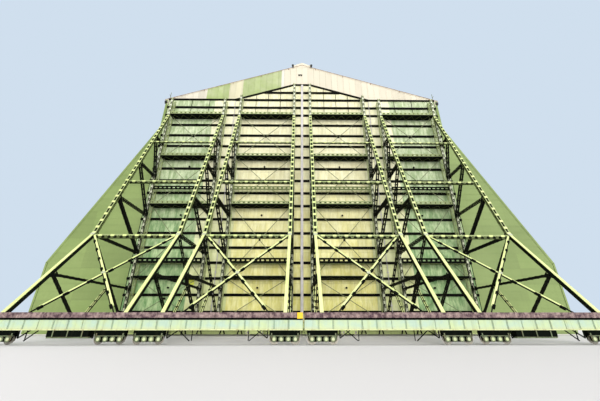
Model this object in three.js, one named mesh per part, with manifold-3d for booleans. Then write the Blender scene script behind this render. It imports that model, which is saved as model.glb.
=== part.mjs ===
// Airship shed with two rolling door leaves at its front end, as a 1:10 scale model.
// x runs across the building, y from the doors (front) to the rear gable, z up from the ground.
// The steel shell stands on a floor slab. Each door leaf is a clad wall that four raking trusses hold
// upright, and it rolls sideways on wheels under its front girder and under its rear sill.
import * as THREE from "three";
import { mergeVertices } from "three/addons/utils/BufferGeometryUtils.js";
import Module from "manifold-3d";

const wasm = await Module();
wasm.setup();

// Driving dimensions: full-size metres times M, which gives model millimetres at 1:10.
const M = 100;
const SEAT = 0.3; // gap between a piece and what carries it, in model millimetres

// Shed
const LENGTH = 247.5 * M;
const BAYS = 12; // window bays of a side wall
const FRAMES = 5; // cross frames between the two gables
const HALF_WIDTH = 41.9 * M;
const LOW_WALL_TOP = 10.8 * M;
const SHOULDER_X = 28.6 * M; // where the sloping side meets the upper wall
const SHOULDER_Z = 38.0 * M;
const EAVE_Z = 45.2 * M;
const RIDGE_Z = 55.3 * M;
const EAVE_OVERHANG = 0.3 * M;
const SHELL = 0.4 * M; // thickness of walls, roofs and gables
const SLAB = 0.15 * M;
const GABLE_Y = 0.8 * M; // front face of the front gable, behind the door leaves
const CAP = { half: 1.9 * M, edge: 55.15 * M, top: 56.0 * M };
const RIB = { width: 0.4 * M, wallDepth: 1.0 * M, roofDepth: 1.5 * M };
const COLUMN_ROW = { inner: 27.4 * M, post: 0.7 * M, top: 44.6 * M, rail: 0.4 * M };
const COLUMN_RAILS = [43.6 * M];
const OPENING = { half: 26.0 * M, side: 43.7 * M, peak: 47.4 * M, peakHalf: 1.7 * M, peakFoot: 13.9 * M };
const WINDOW = { length: 16.8 * M, height: 1.5 * M, sills: [2.7 * M, 6.7 * M] };
const GLASS = { thick: 0.08 * M, margin: 0.3 * M };
const REAR_GIRT = { count: 13, first: 4.0 * M, pitch: 3.4 * M, depth: 0.2 * M, height: 0.25 * M };

// Door leaf, measured for the right-hand one
const LEAF = { inner: 0.06 * M, outer: 27.6 * M, eave: 44.5 * M, peak: 48.65 * M, skin: 0.35 * M };
// The cover strip over the gap between the leaves.
const MEETING = { half: 0.22 * M, depth: 0.12 * M, bottom: 1.9 * M, top: 48.3 * M };
// The weather strip between a leaf and the gable beside its opening.
const JAMB_SEAL = { inner: 26.5 * M, outer: 26.9 * M, bottom: 1.8 * M, top: 43.5 * M };
const GIRT = { depth: 0.25 * M, height: 0.2 * M, first: 3.3 * M, pitch: 2.475 * M, count: 16 };
const UPPER_GIRTS = [42.4, 44.4, 46.4].map((z) => z * M);
const TRUSS_HALF = 0.22 * M; // half the thickness of a raking truss, across x
// One row for each raking truss, from the meeting edge outwards: its x and the height of its column.
const TRUSSES = [
  { x: 1.6 * M, top: 47.4 * M },
  { x: 12.3 * M, top: 44.3 * M },
  { x: 15.5 * M, top: 43.4 * M },
  { x: 26.1 * M, top: 43.4 * M },
];
// Bays with booms and bracing: the truss that carries them and the one they reach to.
const BRACED_BAYS = [
  { name: "inner", from: 0, to: 1 },
  { name: "outer", from: 3, to: 2 },
];
const COLUMN = { inner: -0.45 * M, outer: -1.5 * M, chord: 0.3 * M, lacing: 0.16 * M, panel: 4.95 * M };
const WIND_LEVELS = [8.4, 20.2, 29.7, 39.3].map((z) => z * M);
const WIND_DECK = 0.3 * M;
// Inspection walks across the columns: two level bands with posts between them, and a deck behind.
const WALK_LEVELS = [10.9, 23.4].map((z) => z * M);
const WALK = { half: 0.42 * M, band: 0.25 * M, thick: 0.13 * M, deck: 0.12 * M };
const WALK_POST = { width: 0.2 * M, spacing: 2.0 * M };
const ROD = 0.14 * M;
const BRACE_SET_IN = 1.3 * M; // how far beside a raker's foot a crossed brace ends
// Nodes of a raking truss in its own plane, as [y, z].
const NODE = {
  foot: [-19.6 * M, 2.4 * M],
  low: [-16.0 * M, 6.35 * M],
  knee: [-11.85 * M, 11.85 * M],
  mid: [-9.4 * M, 18.2 * M],
  high: [-6.6 * M, 25.45 * M],
  top: [-4.0 * M, 32.3 * M],
  head: [-1.5 * M, 38.9 * M],
  lowColumn: [-1.5 * M, 6.45 * M],
  kneeColumn: [-1.5 * M, 11.9 * M],
  midColumn: [-1.5 * M, 18.3 * M],
  highColumn: [-1.5 * M, 25.5 * M],
  topColumn: [-1.5 * M, 32.3 * M],
  sillStrut: [-6.4 * M, 6.4 * M],
  frontFoot: [-11.15 * M, 2.0 * M],
  rearFoot: [-10.05 * M, 2.0 * M],
  backFoot: [-1.85 * M, 2.0 * M],
};
const WEBS = [
  ["low", "lowColumn"],
  ["low", "frontFoot"],
  ["sillStrut", "rearFoot"],
  ["knee", "kneeColumn"],
  ["knee", "backFoot"],
  ["mid", "kneeColumn"],
  ["mid", "midColumn"],
  ["high", "midColumn"],
  ["high", "highColumn"],
  ["top", "highColumn"],
  ["top", "topColumn"],
];
const CHORD = { lower: 0.5 * M, upper: 0.44 * M, web: 0.34 * M, boom: 0.45 * M, brace: 0.28 * M };
const BOOMS = [
  [-11.85 * M, 11.85 * M],
  [-8.16 * M, 21.1 * M],
  [-4.65 * M, 30.5 * M],
];
const BASE_CHORD = { bottom: 1.7 * M + SEAT, top: 2.3 * M };
const HEEL = { rear: -18.5 * M, top: 2.9 * M }; // the block behind the girder that a raker stands on
const GIRDER = { front: -20.05 * M, rear: -19.3 * M, bottom: 1.12 * M, neck: 2.03 * M, top: 2.54 * M };
const SILL = { front: -1.6 * M, bottom: 0.95 * M, top: 1.7 * M, skirt: 0.25 * M, skirtBottom: 0.15 * M };

// Wheels and the plates that carry them
const WHEEL = { radius: 0.375 * M, flange: 0.43 * M, half: 0.08 * M, bore: 0.07 * M, sides: 12 };
const WHEEL_BASE = 1.8 * M;
const FLANGE_THICK = 0.04 * M;
const AXLE_Z = WHEEL.flange + 0.5; // the flange clears the ground by half a millimetre
const PIN = { radius: 0.062 * M, sides: 8 };
const PLATE = { half: 1.3 * M, thick: 0.1 * M, gap: 0.13 * M, bottom: 0.22 * M };
const FRONT_BOGIES = [1.6, 13.1, 16.35, 25.65].map((x) => x * M);
const REAR_BOGIES = [6.95, 20.8].map((x) => x * M);
const FRONT_WHEEL_Y = (GIRDER.front + GIRDER.rear) / 2;
const REAR_WHEEL_Y = -0.75 * M;

// The frame's y origin is the middle of the whole length, from the front girder to the rear gable's rails.
const REAR_Y = GABLE_Y + LENGTH;
const MID_Y = (GIRDER.front + REAR_Y + REAR_GIRT.depth) / 2;

const steel = (color, roughness = 0.6) =>
  new THREE.MeshStandardMaterial({ color, roughness, metalness: 0.1 });
const MATERIAL = {
  concrete: new THREE.MeshStandardMaterial({ color: 0x9a968c, roughness: 0.9, metalness: 0 }),
  wall: steel(0x93a667),
  side: steel(0x7fb356),
  roof: steel(0x3f6a3a),
  trim: steel(0xe9dfc4),
  interior: steel(0x8f9a7c),
  cladding: steel(0xe6e3b4),
  steelwork: steel(0xcfe08a),
  girder: steel(0xc9e6c0),
  sill: steel(0xa9c58a),
  wheel: steel(0x5d5f58, 0.45),
  glass: new THREE.MeshStandardMaterial({ color: 0xb9c7dd, roughness: 0.1, metalness: 0 }),
};

// A closed geometry as a solid that can be joined and cut.
function solid(geometry) {
  const bare = geometry.clone();
  bare.deleteAttribute("normal");
  bare.deleteAttribute("uv");
  const merged = mergeVertices(bare, 1e-3);
  const mesh = new wasm.Mesh({
    numProp: 3,
    vertProperties: merged.attributes.position.array,
    triVerts: new Uint32Array(merged.index.array),
  });
  return new wasm.Manifold(mesh);
}

const join = (solids) => solids.reduce((whole, piece) => whole.add(piece));
const cut = (whole, tools) => tools.reduce((left, tool) => left.subtract(tool), whole);

function named(name, shape, material) {
  const data = shape.getMesh();
  const geometry = new THREE.BufferGeometry();
  geometry.setAttribute("position", new THREE.BufferAttribute(data.vertProperties, 3));
  geometry.setIndex(new THREE.BufferAttribute(data.triVerts, 1));
  geometry.computeVertexNormals();
  const mesh = new THREE.Mesh(geometry, material);
  mesh.name = name;
  return mesh;
}

function box(x0, x1, y0, y1, z0, z1) {
  const geometry = new THREE.BoxGeometry(x1 - x0, y1 - y0, z1 - z0);
  return solid(geometry.translate((x0 + x1) / 2, (y0 + y1) / 2, (z0 + z1) / 2));
}

const outline = (points) => new THREE.Shape(points.map(([u, v]) => new THREE.Vector2(u, v)));

// An outline given as [x, z], carried along y.
function prismY(points, y0, y1) {
  const geometry = new THREE.ExtrudeGeometry(outline(points), { depth: y1 - y0, bevelEnabled: false });
  return solid(geometry.rotateX(Math.PI / 2).translate(0, y1, 0));
}

// An outline given as [y, z], carried along x.
const YZ_PLANE = new THREE.Matrix4().makeBasis(
  new THREE.Vector3(0, 1, 0),
  new THREE.Vector3(0, 0, 1),
  new THREE.Vector3(1, 0, 0),
);
function prismX(points, x0, x1) {
  const geometry = new THREE.ExtrudeGeometry(outline(points), { depth: x1 - x0, bevelEnabled: false });
  return solid(geometry.applyMatrix4(YZ_PLANE).translate(x0, 0, 0));
}

// A straight bar between two points [x, y, z], with its width kept level or across x.
function bar(from, to, width, depth) {
  const a = new THREE.Vector3(...from);
  const b = new THREE.Vector3(...to);
  const along = b.clone().sub(a).normalize();
  const level = Math.abs(along.x) > 0.99 ? new THREE.Vector3(0, 1, 0) : new THREE.Vector3(1, 0, 0);
  const side = level.addScaledVector(along, -level.dot(along)).normalize();
  const up = new THREE.Vector3().crossVectors(along, side);
  const place = new THREE.Matrix4().makeBasis(side, up, along);
  place.setPosition(a.clone().add(b).multiplyScalar(0.5));
  return solid(new THREE.BoxGeometry(width, depth, a.distanceTo(b)).applyMatrix4(place));
}

// Shed

const stations = Array.from({ length: FRAMES }, (_, i) => GABLE_Y + ((i + 1) * LENGTH) / (FRAMES + 1));
const roofFall = (RIDGE_Z - EAVE_Z) / SHOULDER_X;
const roofTop = (x) => RIDGE_Z - roofFall * x;
const roofThick = SHELL * Math.hypot(1, roofFall);
const roofUnder = (x) => roofTop(x) - roofThick;
const sideLean = (HALF_WIDTH - SHOULDER_X) / (SHOULDER_Z - LOW_WALL_TOP);
const sideThick = SHELL * Math.hypot(1, sideLean);
const sideInner = (z) => HALF_WIDTH - sideLean * (z - LOW_WALL_TOP) - sideThick;
const WALL_INNER = HALF_WIDTH - SHELL;
const UPPER_INNER = SHOULDER_X - sideThick;

// The rib that a panel carries on its inside at each station, as an outline that runs a little into it.
const withRibs = (panel, points) =>
  join([panel, ...stations.map((y) => prismY(points, y - RIB.width / 2, y + RIB.width / 2))]);

function lowWall() {
  const wall = box(WALL_INNER, HALF_WIDTH, GABLE_Y, REAR_Y, SLAB, LOW_WALL_TOP - SEAT);
  const bay = LENGTH / BAYS;
  const windows = [];
  for (let i = 0; i < BAYS; i++) {
    const middle = GABLE_Y + (i + 0.5) * bay;
    for (const sill of WINDOW.sills) {
      const y0 = middle - WINDOW.length / 2;
      const y1 = middle + WINDOW.length / 2;
      windows.push(box(WALL_INNER - M, HALF_WIDTH + M, y0, y1, sill, sill + WINDOW.height));
    }
  }
  return cut(wall, windows);
}

function glazing() {
  const z0 = WINDOW.sills[0] - GLASS.margin;
  const z1 = WINDOW.sills[1] + WINDOW.height + GLASS.margin;
  const x1 = WALL_INNER - SEAT;
  return box(x1 - GLASS.thick, x1, GABLE_Y + SHELL + SEAT, REAR_Y - SHELL - SEAT, z0, z1);
}

function slopingSide() {
  const panel = prismY(
    [
      [HALF_WIDTH, LOW_WALL_TOP],
      [SHOULDER_X, SHOULDER_Z],
      [SHOULDER_X - sideThick, SHOULDER_Z],
      [HALF_WIDTH - sideThick, LOW_WALL_TOP],
    ],
    GABLE_Y,
    REAR_Y,
  );
  const lap = 0.05 * M;
  const z0 = LOW_WALL_TOP + 0.6 * M;
  const z1 = 35.4 * M; // clear of the column row
  return withRibs(panel, [
    [sideInner(z0) + lap, z0],
    [sideInner(z1) + lap, z1],
    [sideInner(z1) - RIB.wallDepth, z1],
    [sideInner(z0) - RIB.wallDepth, z0],
  ]);
}

const upperWall = () =>
  prismY(
    [
      [UPPER_INNER, SHOULDER_Z + SEAT],
      [SHOULDER_X, SHOULDER_Z + SEAT],
      [SHOULDER_X, roofUnder(SHOULDER_X) - SEAT],
      [UPPER_INNER, roofUnder(UPPER_INNER) - SEAT],
    ],
    GABLE_Y,
    REAR_Y,
  );

function roof() {
  const eave = SHOULDER_X + EAVE_OVERHANG;
  const x0 = SEAT / 2;
  const panel = prismY(
    [
      [x0, roofUnder(x0)],
      [eave, roofUnder(eave)],
      [eave, roofTop(eave)],
      [x0, roofTop(x0)],
    ],
    GABLE_Y,
    REAR_Y,
  );
  const lap = 0.05 * M;
  const x1 = COLUMN_ROW.inner - 0.5 * M;
  return withRibs(panel, [
    [x0, roofUnder(x0) + lap],
    [x0, roofUnder(x0) - RIB.roofDepth],
    [x1, roofUnder(x1) - RIB.roofDepth],
    [x1, roofUnder(x1) + lap],
  ]);
}

const ridgeCap = () =>
  prismY(
    [
      [-CAP.half, roofTop(CAP.half) + SEAT],
      [0, RIDGE_Z + SEAT],
      [CAP.half, roofTop(CAP.half) + SEAT],
      [CAP.half, CAP.edge],
      [0, CAP.top],
      [-CAP.half, CAP.edge],
    ],
    GABLE_Y,
    REAR_Y,
  );

function columnRow() {
  const x1 = UPPER_INNER - SEAT;
  const y0 = GABLE_Y + SHELL + SEAT;
  const y1 = REAR_Y - SHELL - SEAT;
  const post = (a, b) => box(COLUMN_ROW.inner, x1, a, b, SLAB, COLUMN_ROW.top);
  const posts = stations.map((y) => post(y - COLUMN_ROW.post / 2, y + COLUMN_ROW.post / 2));
  posts.push(post(y0, y0 + COLUMN_ROW.post), post(y1 - COLUMN_ROW.post, y1));
  const inset = 0.15 * M;
  const half = COLUMN_ROW.rail / 2;
  const rail = (z) => box(COLUMN_ROW.inner + inset, x1 - inset, y0 + inset, y1 - inset, z - half, z + half);
  return join([...posts, ...COLUMN_RAILS.map(rail)]);
}

// Half of the gable's outline, from the ridge down to the slab, inside the shell.
const gableHalf = (side) => [
  [0, roofUnder(0) - SEAT],
  [side * (sideInner(SHOULDER_Z) - SEAT), roofUnder(sideInner(SHOULDER_Z)) - SEAT],
  [side * (sideInner(SHOULDER_Z) - SEAT), SHOULDER_Z],
  [side * (sideInner(LOW_WALL_TOP) - SEAT), LOW_WALL_TOP],
  [side * (sideInner(LOW_WALL_TOP) - SEAT), SLAB],
];

function frontGable() {
  const opening = [
    [OPENING.half, SLAB],
    [OPENING.half, OPENING.side],
    [OPENING.peakFoot, OPENING.side],
    [OPENING.peakHalf, OPENING.peak],
  ];
  const left = opening.map(([x, z]) => [-x, z]);
  const whole = [...gableHalf(-1), ...left, ...opening.reverse(), ...gableHalf(1).reverse().slice(0, -1)];
  return prismY(whole, GABLE_Y, GABLE_Y + SHELL);
}

function rearGable() {
  const whole = [...gableHalf(-1), ...gableHalf(1).reverse().slice(0, -1)];
  const girts = Array.from({ length: REAR_GIRT.count }, (_, i) => {
    const z = REAR_GIRT.first + i * REAR_GIRT.pitch;
    const reach = z < LOW_WALL_TOP ? WALL_INNER : Math.max(sideInner(z), sideInner(SHOULDER_Z));
    const half = Math.min(reach, (RIDGE_Z - z) / roofFall) - 0.6 * M;
    return box(-half, half, REAR_Y - 0.1 * M, REAR_Y + REAR_GIRT.depth, z, z + REAR_GIRT.height);
  });
  return join([prismY(whole, REAR_Y - SHELL, REAR_Y), ...girts]);
}

function shed() {
  const group = new THREE.Group();
  const slab = box(-HALF_WIDTH, HALF_WIDTH, GABLE_Y, REAR_Y, 0, SLAB);
  group.add(named("floor_slab", slab, MATERIAL.concrete));
  group.add(named("gable_front", frontGable(), MATERIAL.wall));
  group.add(named("gable_rear", rearGable(), MATERIAL.wall));
  group.add(named("ridge_cap", ridgeCap(), MATERIAL.trim));
  for (const [side, sign] of [
    ["left", -1],
    ["right", 1],
  ]) {
    const half = new THREE.Group();
    half.scale.x = sign;
    half.add(named(`side_wall_${side}`, lowWall(), MATERIAL.side));
    half.add(named(`side_glazing_${side}`, glazing(), MATERIAL.glass));
    half.add(named(`sloping_side_${side}`, slopingSide(), MATERIAL.roof));
    half.add(named(`upper_wall_${side}`, upperWall(), MATERIAL.side));
    half.add(named(`roof_${side}`, roof(), MATERIAL.roof));
    half.add(named(`column_row_${side}`, columnRow(), MATERIAL.interior));
    group.add(half);
  }
  return group;
}

// Door leaf

const leafTop = (x) => {
  if (x <= OPENING.peakHalf) return LEAF.peak;
  const run = OPENING.peakFoot - OPENING.peakHalf;
  return Math.max(LEAF.eave, LEAF.peak - ((LEAF.peak - LEAF.eave) * (x - OPENING.peakHalf)) / run);
};

// The clad wall of a leaf with its level rails and the rail that follows its top edge.
function leafSkin() {
  const edge = [
    [LEAF.outer, LEAF.eave],
    [OPENING.peakFoot, LEAF.eave],
    [OPENING.peakHalf, LEAF.peak],
    [LEAF.inner, LEAF.peak],
  ];
  const bottom = SILL.top + SEAT;
  const sheet = prismY([[LEAF.inner, bottom], [LEAF.outer, bottom], ...edge], 0, LEAF.skin);
  const lower = edge.map(([x, z]) => [x, z - GIRT.height]).reverse();
  const topRail = prismY([...edge, ...lower], -GIRT.depth, 0.1 * M);
  const rail = (z, reach) =>
    box(LEAF.inner, reach, -GIRT.depth, 0.1 * M, z - GIRT.height / 2, z + GIRT.height / 2);
  const rails = Array.from({ length: GIRT.count }, (_, i) => rail(GIRT.first + i * GIRT.pitch, LEAF.outer));
  const reachAt = (z) => {
    if (z < LEAF.eave - GIRT.height) return LEAF.outer;
    const share = (LEAF.peak - z) / (LEAF.peak - LEAF.eave);
    return OPENING.peakHalf + share * (OPENING.peakFoot - OPENING.peakHalf);
  };
  const upper = UPPER_GIRTS.map((z) => rail(z, reachAt(z + GIRT.height)));
  const { inner, outer, bottom: sealBottom, top: sealTop } = JAMB_SEAL;
  const seal = box(inner, outer, LEAF.skin - 0.05 * M, GABLE_Y - SEAT, sealBottom, sealTop);
  return join([sheet, topRail, ...rails, ...upper, seal]);
}

// The strip on the right-hand leaf's rails that covers the gap between the leaves.
function coverStrip() {
  const back = -GIRT.depth - SEAT;
  return box(-MEETING.half, MEETING.half, back - MEETING.depth, back, MEETING.bottom, MEETING.top);
}

const GIRDER_SPACE = () =>
  box(-M, LEAF.outer + M, GIRDER.front - M, GIRDER.rear + SEAT, 0, GIRDER.top + SEAT);

// A raking truss: the lattice column behind, the raking chord in front, the webs between and the base chord.
function rakingTruss({ x, top }) {
  const at = ([y, z]) => [x, y, z];
  const upright = (y) =>
    box(x - TRUSS_HALF, x + TRUSS_HALF, y - COLUMN.chord / 2, y + COLUMN.chord / 2, BASE_CHORD.bottom, top);
  const solids = [
    upright(COLUMN.inner),
    upright(COLUMN.outer),
    box(x - TRUSS_HALF, x + TRUSS_HALF, GIRDER.rear + SEAT, COLUMN.inner, BASE_CHORD.bottom, BASE_CHORD.top),
    box(x - TRUSS_HALF, x + TRUSS_HALF, GIRDER.rear + SEAT, HEEL.rear, BASE_CHORD.bottom, HEEL.top),
    bar(at(NODE.foot), at(NODE.knee), 2 * TRUSS_HALF, CHORD.lower),
    bar(at(NODE.knee), at(NODE.head), 2 * TRUSS_HALF, CHORD.upper),
  ];
  for (const [a, b] of WEBS) solids.push(bar(at(NODE[a]), at(NODE[b]), CHORD.web, CHORD.web));
  const panels = Math.round((top - BASE_CHORD.top) / COLUMN.panel);
  const rise = (top - BASE_CHORD.top) / panels;
  for (let i = 0; i < panels; i++) {
    const ends = i % 2 ? [COLUMN.outer, COLUMN.inner] : [COLUMN.inner, COLUMN.outer];
    const z = BASE_CHORD.top + i * rise;
    solids.push(bar([x, ends[0], z], [x, ends[1], z + rise], COLUMN.lacing, COLUMN.lacing));
  }
  return join(solids);
}

// The level booms and the crossed braces of a bay, which the truss they start from carries.
function bayBracing({ from, to }) {
  const start = TRUSSES[from].x;
  const end = TRUSSES[to].x;
  const direction = Math.sign(end - start);
  const stop = end - direction * (TRUSS_HALF + SEAT);
  const span = [Math.min(start, stop), Math.max(start, stop)];
  const half = CHORD.boom / 2;
  const solids = BOOMS.map(([y, z]) => box(span[0], span[1], y - half, y + half, z - half, z + half));
  const brace = (a, b) => {
    const foot = b - Math.sign(b - a) * BRACE_SET_IN;
    return bar([a, ...NODE.knee], [foot, NODE.foot[0] + 0.3 * M, BASE_CHORD.top], CHORD.brace, CHORD.brace);
  };
  const past = direction > 0 ? [stop, stop + 3 * M] : [stop - 3 * M, stop];
  const beyond = box(...past, -30 * M, M, 0, 50 * M);
  const crossed = join([brace(start, end), brace(end, start)]);
  return cut(join([...solids, crossed]), [beyond]);
}

function trussWithBay(index) {
  const bay = BRACED_BAYS.find(({ from }) => from === index);
  const truss = rakingTruss(TRUSSES[index]);
  return cut(bay ? truss.add(bayBracing(bay)) : truss, [GIRDER_SPACE()]);
}

// An inspection walk between two columns, from its front bands to its deck's rear edge.
function inspectionWalk(x0, x1, y0, y1, z) {
  const front = (a, b, low, high) => box(a, b, y0, y0 + WALK.thick, low, high);
  const solids = [
    front(x0, x1, z - WALK.half, z - WALK.half + WALK.band),
    front(x0, x1, z + WALK.half - WALK.band, z + WALK.half),
    box(x0, x1, y0, y1, z - WALK.half, z - WALK.half + WALK.deck),
  ];
  const count = Math.round((x1 - x0) / WALK_POST.spacing);
  for (let i = 0; i <= count; i++) {
    const x = x0 + (i * (x1 - x0 - WALK_POST.width)) / count;
    solids.push(front(x, x + WALK_POST.width, z - WALK.half, z + WALK.half));
  }
  return join(solids);
}

// The level wind girders and walks of a bay and the crossed rods that tie them together.
function windFrame({ from, to }) {
  const xs = [TRUSSES[from].x, TRUSSES[to].x].sort((a, b) => a - b);
  const x0 = xs[0] + TRUSS_HALF + SEAT;
  const x1 = xs[1] - TRUSS_HALF - SEAT;
  const y0 = COLUMN.outer - COLUMN.chord / 2;
  const y1 = -GIRT.depth - SEAT;
  const decks = WIND_LEVELS.map((z) => box(x0, x1, y0, y1, z - WIND_DECK / 2, z + WIND_DECK / 2));
  const walks = WALK_LEVELS.map((z) => inspectionWalk(x0, x1, y0, y1, z));
  const foot = SILL.top + SEAT + ROD;
  const rods = WIND_LEVELS.flatMap((z, i) => {
    const below = i ? WIND_LEVELS[i - 1] : foot;
    const y = (y0 + y1) / 2;
    const inset = ROD;
    return [
      bar([x0 + inset, y, below], [x1 - inset, y, z], ROD, ROD),
      bar([x1 - inset, y, below], [x0 + inset, y, z], ROD, ROD),
    ];
  });
  const tieFoot = box(x0, x1, (y0 + y1) / 2 - ROD / 2, (y0 + y1) / 2 + ROD / 2, SILL.top + SEAT, foot + ROD);
  return cut(join([...decks, ...walks, tieFoot, ...rods]), [
    box(x0 - M, x0, -3 * M, M, 0, 50 * M),
    box(x1, x1 + M, -3 * M, M, 0, 50 * M),
  ]);
}

// The two plates of a bogie and the pins its wheels turn on.
function bogie(x, y, top) {
  const z0 = PLATE.bottom;
  const plates = [-1, 1].map((side) => {
    const inner = y + side * PLATE.gap;
    const outer = y + side * (PLATE.gap + PLATE.thick);
    const points = [
      [x - PLATE.half, top],
      [x - PLATE.half * 0.9, z0],
      [x + PLATE.half * 0.9, z0],
      [x + PLATE.half, top],
    ];
    return prismY(points, Math.min(inner, outer), Math.max(inner, outer));
  });
  const pins = [-1, 1].map((side) => {
    const pin = new THREE.CylinderGeometry(PIN.radius, PIN.radius, 2 * PLATE.gap + PLATE.thick, PIN.sides);
    return solid(pin.translate(x + (side * WHEEL_BASE) / 2, y, AXLE_Z));
  });
  return join([...plates, ...pins]);
}

// The long front girder: a plate box below, a narrow neck and the overhanging top beam.
function frontGirder() {
  const { front, rear, bottom, neck, top } = GIRDER;
  const section = [
    [front + 0.1 * M, bottom],
    [rear, bottom],
    [rear, top],
    [front, top],
    [front, neck + 0.07 * M],
    [front + 0.18 * M, neck + 0.07 * M],
    [front + 0.18 * M, neck],
    [front + 0.1 * M, neck],
  ];
  const beam = prismX(section, LEAF.inner, LEAF.outer);
  return join([beam, ...FRONT_BOGIES.map((x) => bogie(x, FRONT_WHEEL_Y, bottom + 0.05 * M))]);
}

function rearSill() {
  const beam = box(LEAF.inner, LEAF.outer, SILL.front, LEAF.skin, SILL.bottom, SILL.top);
  const skirtTop = SILL.bottom + 0.1 * M;
  const skirt = box(LEAF.inner, LEAF.outer, LEAF.skin - SILL.skirt, LEAF.skin, SILL.skirtBottom, skirtTop);
  return join([beam, skirt, ...REAR_BOGIES.map((x) => bogie(x, REAR_WHEEL_Y, SILL.bottom + 0.05 * M))]);
}

// A flanged rail wheel with a bore, turning about y.
function wheel(name, x, y) {
  const { radius, flange, half, bore, sides } = WHEEL;
  const profile = [
    [bore, -half],
    [flange, -half],
    [radius, -half + FLANGE_THICK],
    [radius, half],
    [bore, half],
    [bore, -half],
  ];
  const geometry = new THREE.LatheGeometry(profile.map(([r, a]) => new THREE.Vector2(r, a)), sides);
  const mesh = new THREE.Mesh(geometry, MATERIAL.wheel);
  mesh.name = name;
  mesh.position.set(x, y, AXLE_Z);
  return mesh;
}

function doorLeaf(side, sign) {
  const leaf = new THREE.Group();
  leaf.scale.x = sign;
  const name = (piece) => `door_${side}_${piece}`;
  leaf.add(named(name("cladding"), leafSkin(), MATERIAL.cladding));
  if (side === "right") leaf.add(named(name("cover_strip"), coverStrip(), MATERIAL.cladding));
  TRUSSES.forEach((_, i) => leaf.add(named(name(`truss_${i + 1}`), trussWithBay(i), MATERIAL.steelwork)));
  for (const bay of BRACED_BAYS) {
    leaf.add(named(name(`wind_frame_${bay.name}`), windFrame(bay), MATERIAL.steelwork));
  }
  leaf.add(named(name("front_girder"), frontGirder(), MATERIAL.girder));
  leaf.add(named(name("rear_sill"), rearSill(), MATERIAL.sill));
  const rows = [
    ["front", FRONT_BOGIES, FRONT_WHEEL_Y],
    ["rear", REAR_BOGIES, REAR_WHEEL_Y],
  ];
  for (const [row, bogies, y] of rows) {
    bogies.forEach((x, i) => {
      leaf.add(wheel(name(`${row}_wheel_${2 * i + 1}`), x - WHEEL_BASE / 2, y));
      leaf.add(wheel(name(`${row}_wheel_${2 * i + 2}`), x + WHEEL_BASE / 2, y));
    });
  }
  return leaf;
}

const airshipShed = new THREE.Group();
airshipShed.add(shed(), doorLeaf("left", -1), doorLeaf("right", 1));
airshipShed.position.y = -MID_Y;

export default airshipShed;
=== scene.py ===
import math
from itertools import pairwise

import bmesh
import bpy
from bpy.props import FloatProperty, FloatVectorProperty, IntProperty, PointerProperty
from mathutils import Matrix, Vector


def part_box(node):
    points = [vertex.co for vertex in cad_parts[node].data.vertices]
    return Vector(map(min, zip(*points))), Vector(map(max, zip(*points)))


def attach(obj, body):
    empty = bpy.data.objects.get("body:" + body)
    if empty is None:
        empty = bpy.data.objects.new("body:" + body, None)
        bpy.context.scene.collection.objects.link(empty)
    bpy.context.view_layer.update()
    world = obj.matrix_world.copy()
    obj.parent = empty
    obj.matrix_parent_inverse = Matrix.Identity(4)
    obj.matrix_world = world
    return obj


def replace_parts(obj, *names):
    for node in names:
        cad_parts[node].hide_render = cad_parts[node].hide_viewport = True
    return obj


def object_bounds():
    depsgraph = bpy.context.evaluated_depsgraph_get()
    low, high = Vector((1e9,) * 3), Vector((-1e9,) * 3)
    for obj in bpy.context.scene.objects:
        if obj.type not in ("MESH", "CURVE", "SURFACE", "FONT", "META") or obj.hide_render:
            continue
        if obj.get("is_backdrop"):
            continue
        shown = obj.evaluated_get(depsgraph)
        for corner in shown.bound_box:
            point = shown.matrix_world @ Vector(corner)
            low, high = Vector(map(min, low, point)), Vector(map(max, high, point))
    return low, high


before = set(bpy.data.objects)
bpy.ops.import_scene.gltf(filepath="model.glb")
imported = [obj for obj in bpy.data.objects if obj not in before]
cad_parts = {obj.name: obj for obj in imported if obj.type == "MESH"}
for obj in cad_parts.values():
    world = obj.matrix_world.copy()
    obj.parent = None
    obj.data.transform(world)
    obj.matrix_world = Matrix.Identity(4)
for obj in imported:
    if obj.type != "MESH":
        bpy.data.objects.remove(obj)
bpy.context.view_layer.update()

bl_info = {
    "name": "Airship Shed",
    "version": (1, 0, 0),
    "blender": (4, 5, 0),
    "location": "View3D > Sidebar > Shed",
    "description": "Cladding, lattice steelwork, running gear and finishes of a 1:10 airship shed",
    "category": "Object",
}

# Pieces are drawn in full-size metres, with y = 0 at the front of the door cladding, and made at this scale.
# What has two like halves is drawn once, as the right-hand one, and mirrored.
SCALE = 0.1
GABLE_Y = 0.8
ORIGIN_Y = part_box("gable_front")[0][1] - GABLE_Y * SCALE
REAR_Y = (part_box("roof_left")[1][1] - ORIGIN_Y) / SCALE
SIDES = (-1, 1)
LEAVES = {"left": -1, "right": 1}
CORNERS = [(i, j) for i in SIDES for j in SIDES]

# The shed's section, from the ground wall to the ridge
FLOOR_TOP = 0.15
HALF_WIDTH = 41.9
LOW_TOP = 10.8
SHOULDER = (28.6, 38.0)
EAVE_Z = 45.2
RIDGE_Z = 55.3
ROOF_FALL = (RIDGE_Z - EAVE_Z) / SHOULDER[0]
SIDE_LEAN = (HALF_WIDTH - SHOULDER[0]) / (SHOULDER[1] - LOW_TOP)
VERGE_REACH = 28.87
FRONT_HALF = 28.3
HEAD = (43.75, 47.4)
LAP = 0.3
ROOF_LAPS = (7.4, 12.7, 18.0, 23.3)
SIDE_LAPS = (15.3, 19.9, 24.5, 29.1, 33.7)
WINDOW_BAYS = 12
BAY = (REAR_Y - GABLE_Y) / WINDOW_BAYS
BAY_MIDDLES = [GABLE_Y + (i + 0.5) * BAY for i in range(WINDOW_BAYS)]
WINDOW_HALF = 8.4
WINDOW_SILLS = (2.7, 6.7)
WINDOW_HEIGHT = 1.5
UPPER_WINDOW = (40.2, 42.0, 5.5)
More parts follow.
